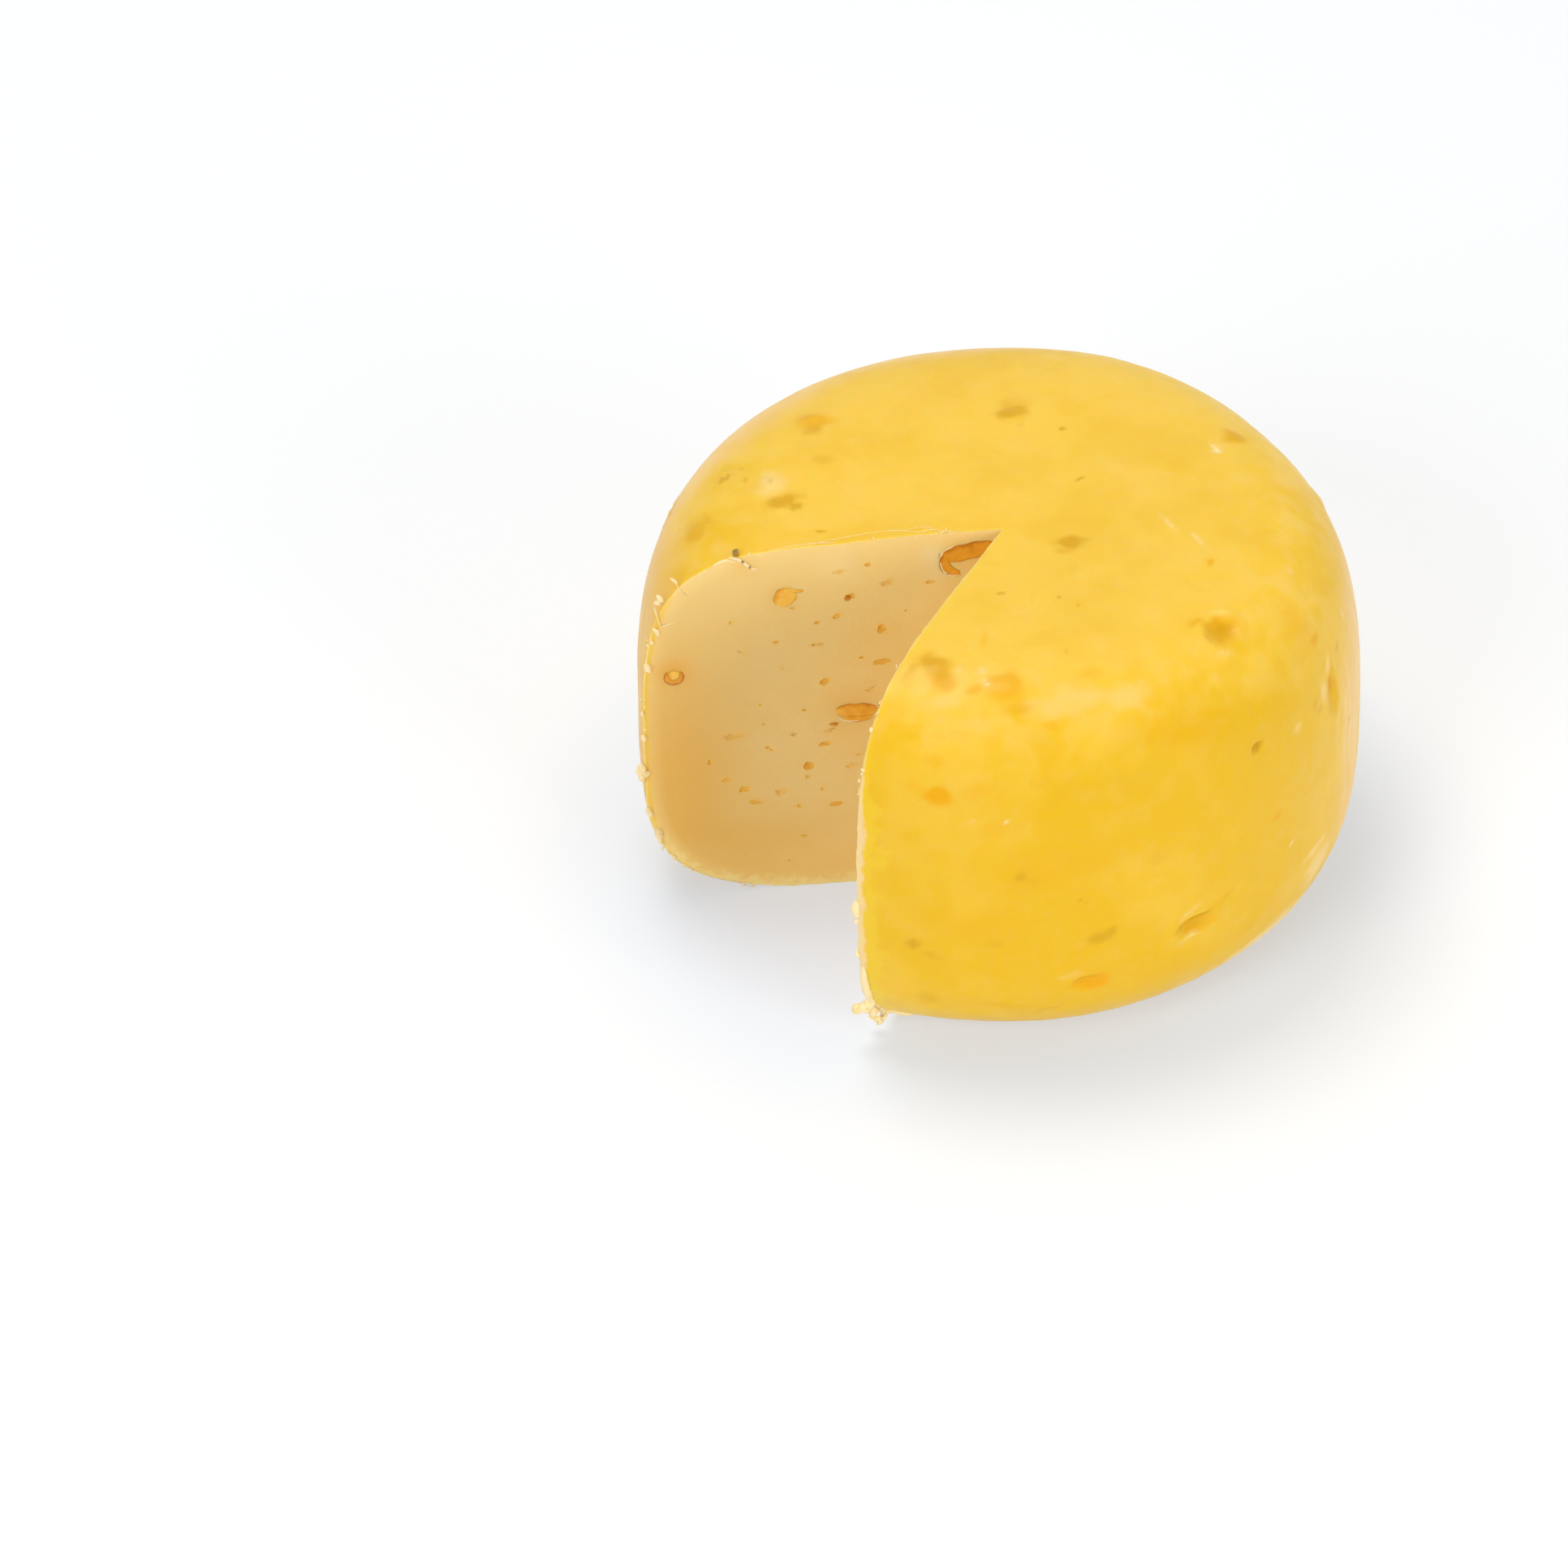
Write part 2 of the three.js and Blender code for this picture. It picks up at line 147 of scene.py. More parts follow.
# Pinholes that are too small for the solid, with the same numbers
LEFT_PINHOLES = (
    (43, 24.5, 0.9, 0.7, 80), (19, 36, 1.3, 0.6, 40), (29, 33, 0.6, 0.5, 0), (35, 31, 0.5, 0.4, 0),
    (26.5, 45, 1.3, 0.6, 0), (27.5, 45, 0.7, 0.5, 30), (33, 46, 0.9, 0.5, 10), (37.5, 44.5, 1.2, 0.5, 5),
    (39.5, 50, 0.9, 0.5, 60), (27, 49, 0.8, 0.5, 20), (25, 29, 1.7, 0.7, 25), (34.5, 26.5, 0.8, 0.6, 20),
    (34, 26, 0.6, 0.5, 0), (28.5, 20.5, 0.9, 0.6, 5), (26.5, 18, 0.6, 0.6, 0), (30, 15, 0.8, 0.7, 80),
    (21, 24, 1.3, 0.5, 20), (10.5, 55, 1.4, 0.6, 5), (19.5, 59, 1, 0.5, 0), (30.5, 28.5, 0.5, 0.4, 0),
    (32, 41, 0.4, 0.4, 0), (38, 6.5, 0.5, 0.4, 0), (31.5, 5, 0.6, 0.4, 0), (35.5, 34.5, 0.5, 0.4, 0),
    (29.5, 9.5, 1.1, 0.4, -10), (14, 50, 0.8, 0.5, 30), (20.5, 42, 0.7, 0.5, 10), (30.5, 52, 0.8, 0.4, 0),
)
HOLE_LENGTH_SHARE = 0.95
HOLE_WIDTH_SHARE = 0.9
HOLE_DEPTH_SHARE = 0.26
HOLE_LIFT = 0.3
HOLE_TAPERS = (0.6, 0.0, -0.4)
RIGHT_HOLE_COUNT = 18
RIGHT_HOLE_FIELD = ((8, 44), (9, 52))
RIGHT_HOLE_LENGTH = (1.6, 3.2)
RIGHT_HOLE_WIDTH = (0.9, 1.5)
RIGHT_HOLE_TURN = (-15, 75)
HOLE_CLEARANCE = 4.2
RIGHT_PINHOLE_COUNT = 30
PINHOLE_LENGTH = (0.5, 1.3)
PINHOLE_WIDTH = (0.4, 0.7)
PINHOLE_CLEARANCE = 2.2

# Marks in the rind: azimuth, tilt, size across and up in mm, height in mm, and shares of the warm, the olive
# and the pale tint
MARKS = (
    (49, 40, 6.4, 5, -0.9, 0.6, 0.4, 0), (67, 19, 3, 8, -0.8, 0.2, 0, 0), (32, -6, 6.6, 3.4, -1, 0.6, 0.3, 0),
    (13, -12, 5.6, 2.8, -0.8, 1, 0, 0), (45, 22, 2.8, 1.8, -0.6, 0, 1, 0), (-15, 44, 6, 4.6, 0.35, 0, 0.3, 0),
    (0, 41, 6.4, 5, 0.35, 0.6, 0.1, 0), (118, 42, 4.8, 3.4, 0.4, 0.6, 0.3, 0),
    (-101, 48, 4.6, 4.2, 0.4, 0, 0, 0.7), (-130, 46, 4.4, 3.6, 0.35, 0.6, 0.25, 0),
    (174, 60, 4.6, 3.2, 0.3, 0, 0.75, 0), (-90, 38, 4.8, 3.2, 0.3, 0.3, 0.35, 0),
)
# Stains with no relief: azimuth, tilt, size across and up in mm, turn in degrees, and the same shares
STAINS = (
    (-15, 44, 7.6, 4.6, -40, 0.5, 0.65, 0), (-13, 42, 4.8, 3.8, -40, 0.8, 0.4, 0),
    (-20, 43, 5, 1.4, 75, 0.3, 0.45, 0), (-10, 44, 1.8, 1.8, 0, 0, 0, 0.6), (-4, 42, 2.2, 1, -30, 0, 0, 1),
    (-5, 44, 1.8, 1.8, 0, 0, 0, 0.75), (2, 38, 6, 2.4, -5, 0.4, 0.25, 0), (0, 42, 6, 4.4, 0, 0.65, 0.15, 0),
    (-6, 41, 3.4, 2.4, 30, 0.7, 0, 0), (8, 35, 3, 1.6, 0, 0.6, 0, 0), (18, 42, 4, 3, 0, 0.4, 0, 0),
    # (-12, 39), (12, 38), (24, 37) and (-6, 36) are broad pale patches along the front shoulder: painted
    # highlight where the gloss band falls
    (-5, 50, 5, 1.4, 85, 0.45, 0, 0), (-12, 39, 7, 2.4, 10, 0, 0, 0.45), (12, 38, 14, 5, 0, 0, 0, 0.5),
    (24, 37, 9, 4, 5, 0, 0, 0.45), (-6, 36, 8, 3, 0, 0, 0, 0.35), (-11, 25, 4.8, 3.6, 10, 1, 0, 0),
    (-15, 26, 4.6, 2.6, -20, 0.4, 0, 0), (-5, 26, 5.4, 3, 15, 0.35, 0, 0), (-12, 30, 4, 2.4, 0, 0.4, 0, 0),
    (-2, 20, 5, 3.4, 0, 0.4, 0, 0), (8, 12, 20, 8, 10, 0.3, 0, 0), (-5, 2, 16, 8, 0, 0.25, 0, 0),
    (32, 30, 16, 7, -10, 0.35, 0, 0), (-26, 27, 2.6, 1.5, 0, 0, 1, 0), (0, 21, 0.9, 0.8, 0, 0, 0, 1),
    (-6, 21, 0.9, 0.8, 0, 0, 0, 0.8), (46, 43, 3.6, 1.5, -15, 0.6, 0.4, 0), (52, 42, 4, 1.4, -35, 0, 0, 0.6),
    (46, 37, 3.6, 1, -30, 0, 0, 0.65), (49, 40, 6.8, 5.2, -10, 0.8, 0.5, 0), (50, 40, 4.6, 3, -5, 0, 0.7, 0),
    (80, 56, 5.6, 1.2, 40, 0, 0, 0.75), (74, 51, 5.6, 1.2, 45, 0, 0, 0.75), (66, 48, 2, 1.4, 0, 1, 0, 0),
    (74, 38, 1.6, 1.4, 0, 0, 0, 0.7), (66, 29, 3.6, 1.6, 0, 0.8, 0.35, 0), (64, 33, 7, 10, 0, 0.4, 0, 0),
    (78, 25, 3.4, 1, 88, 0, 0, 0.9), (67, 24, 4, 1.6, 40, 0, 0, 0.75), (64, 21, 5, 1.6, 92, 0, 0, 0.75),
    (62, 19, 1.6, 1.2, 0, 0, 0.9, 0), (75, 12, 1.2, 0.8, 80, 0, 0.9, 0), (76, 5, 2.6, 0.8, 80, 0, 0.6, 0),
    (67, 20, 3.6, 3.6, 0, 0.9, 0.5, 0), (72, 24, 2, 1.6, 0, 0, 0.6, 0), (66, 16, 1.6, 0.8, 80, 0, 0.7, 0),
    (55, 20, 2.6, 2, 0, 0, 0, 0.6), (61, 21, 3, 1, 80, 0, 0.5, 0), (72, 14, 6, 1.4, 80, 0, 0, 0.6),
    (74, 9, 1.2, 1, 0, 0, 0.9, 0), (49, 7, 2.2, 2, 0, 0.9, 0.2, 0), (60, -7, 8, 1.6, 8, 0, 0, 0.7),
    (53, -1, 2.6, 0.7, 30, 0, 0, 1), (33, -5, 3.6, 1.6, 20, 0.5, 0.8, 0), (29, -6, 2.4, 1.6, 20, 0, 0.6, 0),
    (31, -8, 2.4, 1.2, 15, 0, 0, 0.9), (29, -9, 2.2, 1, 0, 0, 0, 0.65), (31, -3, 6, 1, 26, 0, 0, 0.6),
    (38, -3, 4.2, 1.4, 35, 0.5, 0.3, 0), (44, -13, 1.8, 1.2, 30, 0, 0.4, 0), (62, -12, 9, 8, 10, 0, 0, 0.7),
    (50, -20, 22, 6, 10, 0, 0, 0.78), (40, -25, 26, 5, 4, 0, 0, 0.7), (-24, -31, 6, 3, 0, 0, 0, 0.9),
    (-14, -34, 12, 2.6, 0, 0, 0, 0.7), (2, 11, 2.6, 2.4, 30, 0, 0.6, 0), (4, 10, 1.6, 2.6, 0, 0, 0.3, 0),
    (25, 10, 4.6, 2.6, 10, 0, 0.3, 0), (12, 5, 2, 0.9, -25, 0, 0.8, 0), (-15, -3, 2.6, 2.2, -30, 0, 0.85, 0),
    (-12, -5, 4, 1.4, -25, 0, 0.5, 0), (-2, -2, 3.2, 2, -25, 0.4, 0.3, 0), (15, -3, 4.8, 2.8, 5, 0, 0.7, 0),
    (17, -2, 2.2, 1.6, 10, 0, 0.7, 0), (14, -12, 6.6, 4.2, -5, 1, 0, 0), (10, -10, 5, 1.4, 12, 0, 0, 0.4),
    (-13, -15, 4, 3, 10, 0, 0.4, 0), (0, -16, 9, 1.4, -12, 0, 0.35, 0), (6, -18, 8, 1.2, 14, 0, 0.35, 0),
    (-102, 48, 6.4, 5.2, 0, 0, 0, 0.66), (-106, 47, 3, 3, 0, 0, 0, 0.6),
    # (-95, 50) and (-93, 52) darken the rind beside the pale swelling at (-101, 48): painted shadow of that
    # swelling
    (-95, 50, 6.6, 3.6, -60, 0.4, 0.75, 0), (-93, 52, 3, 2, -60, 0, 0.75, 0),
    (-103, 48, 0.9, 0.9, 0, 0, 0.9, 0), (-105, 41, 3.6, 1.6, -40, 0, 0.8, 0),
    (-104, 44, 1.2, 0.9, 0, 0, 0.9, 0), (-108, 43, 1, 0.8, 0, 0, 0.6, 0),
    (-116, 53, 4.2, 2.6, -65, 0, 0.45, 0), (-130, 47, 4.6, 7, 50, 0.7, 0.3, 0),
    (-127, 48, 3.6, 4, 50, 0, 0.6, 0), (-90, 38, 7, 4.8, 0, 0.3, 0.5, 0), (-92, 40, 5, 1.2, 20, 0, 0.5, 0),
    (-80, 55, 1.9, 0.9, 80, 0, 0.9, 0), (151, 61, 1.2, 1, 0, 0, 1, 0), (140, 58, 0.9, 0.9, 0, 0, 0.5, 0),
    (172, 59, 5, 4.8, 0, 0.35, 0.7, 0), (172, 57, 6, 6, 0, 0, 0.3, 0), (168, 62, 1.8, 1.2, 0, 0, 0.4, 0),
    (117, 70, 1.4, 0.9, -80, 0, 0.9, 0), (113, 46, 1.8, 2, 0, 0, 0, 1), (115, 46, 1.2, 1.4, 0, 0, 0, 1),
    (117, 42, 3.6, 5, 0, 0.6, 0.6, 0), (50, 70, 5.4, 3.8, -50, 0, 0.8, 0), (42, 69, 3.2, 2, -40, 0.3, 0.4, 0),
    (36, 64, 3.4, 1.6, 40, 0, 0.2, 0), (0, 61, 1.8, 1, 5, 0, 0.8, 0), (21, 58, 0.9, 0.9, 0, 0, 0.8, 0),
    (25, 55, 1, 0.8, 20, 0, 0.7, 0), (11, 58, 0.8, 0.8, 0, 0, 0.6, 0), (15, 46, 1, 0.9, 0, 0, 0.7, 0),
)
# The marks on the side that faces away, spread by the same rule as in the solid
BACK_MARK_COUNT = 12
BACK_AZIMUTHS = (100, 262)
BACK_TILTS = (-24, 30)
BACK_MARK_ACROSS = (4, 6.4)
BACK_MARK_UP = (2.6, 4.2)
BACK_MARK_DEPTH = (0.3, 0.9)
BACK_MARK_PLACE = (0.2, 0.8)
BACK_RELIEF = 0.5
BACK_TINTS = (
    (0, 0, 0.5), (0.6, 0, 0), (0.4, 0.4, 0), (0.5, 0, 0), (0, 0.8, 0),
)

# Larger crumbs on the rims of the cuts: height, size and how far they stand out, in mm
LEFT_BURRS = (
    (23.5, 1.7, 0.7), (22.5, 1.4, 0.6), (24.5, 1.5, 0.6), (23.5, 1.5, 0), (30, 1.2, 0.1), (34.5, 1, 0.1),
    (43, 1.6, -0.3), (49.5, 1.6, -0.4), (47.5, 1, -0.4), (16, 1.6, 0.1), (12, 1.8, -0.3), (11, 1.2, 0),
    (7, 1, 0),
)
RIGHT_BURRS = ((9, 1.1, 0), (26, 1.2, -0.2), (19.5, 0.9, 0), (57, 0.9, -0.2))

# The ring of the torn corner, which faces the camera: distance from the corner, height, depth behind the cut,
# radius and thickness, all in mm
TORN_RING = (40.5, 3, -0.5, 0.7, 0.8)
RING_STEPS = 18

# Torn threads: number of the cut, thickness, and points with the distance from the corner, the height and the
# depth behind the cut plane, all in mm
THREADS = (
    (0, 0.12, ((28, 64, 0.3), (24.5, 64, 1), (20, 64, 1.6), (15, 64, 1.6), (12, 64, 0.6), (10.5, 64, 1),
              (9.5, 64, 0.8), (8, 64, 0.2), (6, 64, 0.2))),
    (0, 0.12, ((13.5, 64, 1.5), (12, 64, 1.8), (10.5, 64, 1.6), (10, 64, 1))),
    (0, 0.12, ((34, 64, 0.2), (30, 64, 0.5), (27, 64, 0.6), (24, 64, 0.2))),
    (0, 0.4, ((48, 59, 0), (47.5, 58.5, 0), (47, 58, 0))),
    (0, 0.2, ((47.5, 58.5, 0), (47, 57.5, -0.1), (46.5, 56.5, -0.1), (45.5, 55.5, 0))),
    (0, 0.3, ((50.5, 54, 0), (50, 52, -0.2), (49.5, 50.5, -0.1), (47.5, 51, 0))),
    (0, 0.5, ((39.5, 62, 0), (38, 61.5, -0.1), (36.5, 60, -0.1), (35.5, 59.5, 0))),
    (0, 0.4, ((42, 60.5, 0.1), (40, 61.5, 0), (38.5, 61, 0))),
    (0, 0.3, ((9.5, 60, 0), (9, 59.5, -0.1), (8.5, 60.5, -0.1), (7.5, 61, 0), (6.5, 61.5, 0.1))),
    (0, 0.35, ((9, 58.5, 0), (8.5, 57, -0.1), (7.5, 56, -0.1), (6, 56, 0))),
    (0, 0.25, ((24, 31, 0), (22.5, 30.5, -0.1), (20.5, 30.5, 0))),
    (0, 0.9, ((50, 56, 0.1), (49.5, 55, -0.1), (50.5, 54.5, 0.1))),
    (1, 1.8, ((42.5, 8, 0.5), (43.5, 7.5, 0), (44, 7, -0.5), (44.5, 7, -1), (45, 7, -1.5))),
    (1, 1.4, ((45.5, 8, -1.5), (45, 7, -1.5), (44.5, 6.5, -1.5))),
    (1, 1.5, ((42, 7, 0.5), (43, 6, 0), (42.5, 5, 0), (42, 4, -0.5))),
    (1, 1.3, ((46.5, 18, 0.5), (46.5, 15, 0.5), (45.5, 11.5, 0.5), (44, 9, 0.5), (42.5, 7, 0.5))),
    (1, 1.6, ((44, 9.5, 0.5), (42.5, 7.5, 0.5), (41, 5.5, 0.5), (40, 4, 0.5), (39, 3.5, 1))),
    (1, 0.9, ((42, 3.5, -1), (41, 2.5, -0.5), (41, 2, 0), (40.5, 2.5, 0.5), (40, 3.5, 1))),
    (1, 1.2, ((40.5, 4.5, 0.5), (40, 4, 1), (39.5, 4, 2), (39.5, 4, 3.5), (39, 4, 5))),
    (1, 1.3, ((47, 29.5, 0), (47.5, 28, -0.2), (47, 26.5, 0))),
)
ON_TOP = 62.5
THREAD_SIDES = 8
THREAD_STEPS = 6

# Small numbers of the shapes. Noises have the size of their features, an offset and how far they go.
NEAREST = 0.1 * MM
TINY = 1e-9
SHORTEST = 1e-12
ANGLE_STEP = 0.02
SPOT_DEPTH = 6 * MM
FAR_OUT = 9.0
RIND_WAVES = ((9 * MM, 0.0, 0.12 * MM), (3.2 * MM, 7.0, 0.04 * MM))
MARK_ROUNDNESS = 1.2
DENT_LIP = 0.3
DENT_LIP_PLACE = 1.15
DENT_LIP_WIDTH = 0.2
RIM_CHIP_SIZE = 2.4 * MM
RIM_CHIP_OFFSET = 5.0
RIM_CHIP_SHARES = (0.45, 0.9)
RIM_TOP_SHARE = 0.7
RIM_TOP = (42 * MM, 54 * MM)
RIM_FOOT = (0.3 * MM, 1.5 * MM)
BASE_EDGE = (0.4 * MM, 2.5 * MM)
RIM_WAVES = ((1.6 * MM, 0.0), (0.7 * MM, 3.0))
FACE_EASE = 1.25
FACE_WAVE = (14 * MM, 21.0, 0.1 * MM)
STAIN_WAVER = (1.8 * MM, 13.0, 0.3)
STAIN_EDGE = (0.35, 1.3)
# Where the painted recess shade round a hole fades out, in shares of its size
HOLE_SHADE_EDGE = (0.5, 1.4)
HOLE_REACH = 1 * MM
HOLE_ROUGHNESS = 0.6 * MM
HOLE_LUMPS = 1300.0
SKIN_REACH = 3 * MM
SKIN_BEHIND = -1 * MM
LINE_STRIDE = 4

# A seed's part: steps along and across it, then how its sides and its surface go, in mm
SIDE_STEPS = 25
SLAB_COLUMNS = 9
SECTION_TEAR = (9, 3.0, 0.25)
SECTION_THINNEST = 0.02
STRIP_ENDS = (0.06, 0.88)
STRIP_THICKNESS = (0.2, 0.8, 0.6)
SLAB_SLOPE = 4
SLAB_START = 0.15
# Painted shadow along a part's first side, as under a lip of curd: its width and strength. The first side is
# the upper side of a section and the outer side of a strip.
LIP_SHADOW_WIDTH = 0.4
LIP_SHADOW_TONE = 0.4
EDGE_START = 0.6
EDGE_TONE = 0.3
# Painted highlight that lightens a part towards its other side
LOWER_SIDE_HIGHLIGHT = 0.1
SEED_LIFT = 0.01
LAYER_LIFT = 0.04
SEED_CROWN = 0.05
SEAT_GROWTH = -0.02
SEAT_TOPS = (0.5, 0.6, 0.5)
SEAT_DEPTH = 0.45
SEAT_LAYERS = 3

# Crumbs and burrs
CRUMB_LINE = slice(2, -30)
CRUMB_LOWEST = 0.6 * MM
CRUMB_SEED = 5
CRUMB_INPUTS = {
    "Spacing": 0.3 * MM, "Smallest": 0.08 * MM, "Largest": 0.42 * MM, "Spread": 0.3 * MM, "Bare share": 0.63}
CRUMB_STRETCHES = 260.0
CRUMB_FORM = (1.5, 1.0, 0.6)
CRUMB_LUMPS = 2600.0
CRUMB_ROUGHNESS = 0.5 * MM
CRUMB_FINENESS = 2
BLOB_FINENESS = 3
BURR_TAPER = 0.2
BURR_ROUGHNESS = 0.8 * MM
BURR_LUMPS = 900.0
BURR_INWARD = 0.15
BURR_TURN = (60, 40)
BURR_SINK = 0.1
BURR_WIDTH = 0.7
BURR_RIM = 25 * MM
THREAD_LUMPS = (0.8 * MM, 0.3)
THREAD_ENDS = (0.6, 0.2, 0.4)
BEHIND_CUT = -0.15 * MM

# The camera, from the outline and both cut edges in the picture of 1932 by 1932 pixels
PICTURE_SIZE = 1932
SENSOR_WIDTH = 36
WIDEST_PLACE_X = 1228.4
WIDEST_PLACE_Y = 871.9

# Where the light overhead and the two in front stand
KEY_PLACE = (-0.22, 0.2, 1.0)
LEFT_FILL_PLACE = (-0.85, -1.25, 0.95)
RIGHT_FILL_PLACE = (1.05, -1.15, 0.6)
STAGE_MIDDLE = (0, 0, 0.03)
KEY_SIZE = 0.5
FILL_SIZE = 0.8
CAMERA_REACH = 10
FLOOR_HALF = 3.0
FLOOR_DROP = 0.02 * MM
# The sky's ramps along an axis: where they start and end
SKY_DEPTH = (-0.4, 0.6)
SKY_HEIGHT = (0.3, 0.95)
SKY_ACROSS = (-0.8, 0.1)

# Noises of the materials: features per metre, with three numbers where they are stretched, then detail,
# roughness and distortion
COAT_NOISES = {
    "clouds": (45, 3.0, 0.6),
    "patches": (135, 2.0, 0.55, 0.6),
    "mottle": (230, 1.5, 0.5, 0.3),
    "blotch": (420, 3.0, 0.65),
    "torn": (330, 3.0, 0.6),
    "speckle": (620, 2.0, 0.5),
    "peel": (380, 2.0, 0.5),
    "pores": (1500, 3.0, 0.6),
    "streaks": ((900, 900, 60), 2.0, 0.5),
    "folds": ((420, 420, 60), 2.0, 0.5, 0.5),
}
CURD_NOISES = {
    "clouds": (90, 3.0, 0.55),
    "grain": (900, 3.0, 0.6),
    "foot": (560, 3.0, 0.65),
    "flakes": (330, 2.0, 0.6),
    "layers": ((300, 300, 1500), 3.0, 0.6),
}
HOLE_NOISES = {"clouds": (900, 2.0, 0.5)}
SEED_NOISES = {"grain": (1500, 3.0, 0.6), "mottle": (700, 3.0, 0.6)}
CRUMB_NOISES = {"patches": (420, 2.0, 0.5), "grain": (1800, 3.0, 0.6)}

# Ramps: what is measured, the values where a ramp starts and ends, and the shares there, with False where it
# runs straight. These measures are lengths, in mm:
LENGTHS = (
    "height", "side", "left", "behind", "back", "beside", "skin", "depth", "middle", "foot_skin", "out")
COAT_THICKNESS = (("height", 60, 48, 0, 0.7), ("clouds", 0.35, 0.65, -0.3, 0.6))
SHOULDER = (("height", 54, 58), ("height", 63.5, 61))
CLUMPS_ALL_OVER = 0.04
CLUMPS_ON_SHOULDER = 0.16
# The back edge, along which a pale sheen is painted
BACK_WAYS = ((-0.3, 0.95, 0), (-0.75, 0.66, 0))
# Noise that breaks up the painted shade and sheen along the edges
EDGE_BREAKUP = ("edge_breakup_clouds", 0.75, 1.15, 0.3, 1)
# Right edge: a band of dried, wrinkled pale coating with painted pale grazing sheen where the rind turns
# away; the folds below break it up
DRY_SIDE_AND_SHEEN = (("side", 47.5, 51.5, 0, 0.9), ("height", 57, 48))
DRY_FOLDS = (("folds", 0.35, 0.6, 0.5, 1),)
# Back edge: painted pale sheen
BACK_EDGE_SHEEN = (("back", 36, 44, 0, 0.7), ("height", 46, 58), EDGE_BREAKUP)
# Painted shade on the left edge: a darker, peachier tone where the rind turns away, on its front and upper
# part
EDGE_SHADE_PLACES = ((("behind", 28, 12),), (("height", 46, 58),))
EDGE_SHADE_SHARE = (("left", 42, 51, 0, 0.6), ("edge_breakup", 0.3, 1, 0.6, 1))
RAGGED_TINT = (0.5, 1.2, 0.5, 1.2)
TORN_WAVER = ("torn", 0.3, 0.7, 0.6, 1.6, False)
TORN_NARROWS = ("height", 44, 53, 1, 0.3)
COAT_GLOSS = ("patches", 0.3, 0.75, 0.3, 0.44, False)
UNDER_COAT = (("height", 24, 9, 0.5, 1), ("height", 44, 60, 0, 0.3))
GRAIN_WAVER = ("grain", 0.3, 0.7, -0.18 * MM, 0.18 * MM, False)
FOOT_WAVER = ("foot", 0.3, 0.7, -1.1 * MM, 1.1 * MM, False)
CURD_GLOSS = ("grain", 0.3, 0.7, 0.42, 0.6, False)
SEED_WAVER = ("mottle", 0.3, 0.7, -0.22, 0.22, False)
# Where the floor's glow turns from the painted shadow close to the cheese to its even glow further out
FLOOR_SHADE_REACH = ("out", 46, 80)

# Layers of colour, each over the one before: the colour, and ramps whose product is its share
COAT_LAYERS = (
    ("coat_pale", ("patches", 0.48, 0.75, 0, 0.2), ("height", 44, 58, 0.3, 1), ("height", 64, 61, 0.4, 1)),
    ("coat_deep", ("patches", 0.46, 0.3, 0, 0.7), ("height", 64, 61, 0.4, 1)),
    ("coat_deep", ("mottle", 0.52, 0.3, 0, 0.4), ("height", 63, 58, 0.3, 1)),
    ("coat_pale", ("clumps",), ("mottle", 0.42, 0.66)),
    ("coat_pale", ("speckle", 0.5, 0.85, 0, 0.12)),
    ("coat_deep", ("streaks", 0.5, 0.8, 0, 0.12)),
    ("coat_pale", ("height", 61, 63.5, 0, 0.1)),
    # Dried coating and painted pale sheen on the right and back edges
    ("coat_dry_and_sheen", ("dry_skin_and_sheen",)),
    # Painted shade on the left edge
    ("coat_edge_shade", ("left_edge_shade",)),
)
WHITE_SPOTS = (("crumb", ("pale", 0.72, 0.95, 0, 0.75)),)
CUT_LAYERS = (
    ("coat_band", ("strips", 1.6, 3.2, 0.7, 0), ("beside", 0, 0.5), ("height", 50, 60, 1, 0.5)),
    ("curd_strip", ("strips", 0.5, 1.1, 1, 0), ("beside", 0, 0.5), ("height", 46, 58, 1, 0.35)),
)
COAT_TOP_LAYERS = (
    ("coat_olive", ("olive", 0.8, 1, 0, 0.8)),
    ("coat_dry_and_sheen", ("height", 6.5, 1, 0, 0.8)),
)
CURD_LAYERS = (
    # Paler towards the corner of the cuts: partly the cheese's paler core, partly painted light that lifts
    # the shade deep in the notch
    ("curd_core_and_painted_light", ("middle", 42, 8)),
    ("curd_rim", ("clouds", 0.35, 0.75, 0, 0.25)),
    ("curd_rim", ("skin", 5, 20, 1, 0), ("middle", 14, 42, 0.05, 1), ("height", 22, 54, 1, 0.2),
     ("height", 3, 12, 0.5, 1)),
    ("curd_pale", ("skin", 0.6, 3.4, 0.85, 0), ("under_coat",)),
    # Paler towards the top of the cut face: painted light from above
    ("curd_core_and_painted_light", ("height", 46, 62, 0, 0.45)),
    ("curd_low", ("height", 13, 3, 0, 0.4)),
    ("seed", ("stain", 0, 1, 0, 1, False)),
    ("crumb", ("stain", 0, -1, 0, 1, False)),
    # Painted recess shade: the darker hole colour in and round each hole
    ("curd_hole", ("hole", 0, 1, 0, 0.65, False)),
    ("crumb", ("depth", 0.5, -0.2, 0, 0.2)),
    ("coat_rim", ("depth", 0.35, -0.05), ("height", 50, 58, 0.9, 0.1), ("height", 2, 7, 0.3, 1)),
    ("curd_foot", ("foot_skin", 2, 0.6), ("height", 20, 5, 0, 0.85)),
    ("crumb", ("depth", -0.35, -0.55), ("flakes", 0.5, 0.62, 0, 0.7)),
)
HOLE_LAYERS = (("curd_rim", ("clouds", 0.4, 0.7, 0, 0.2)),)
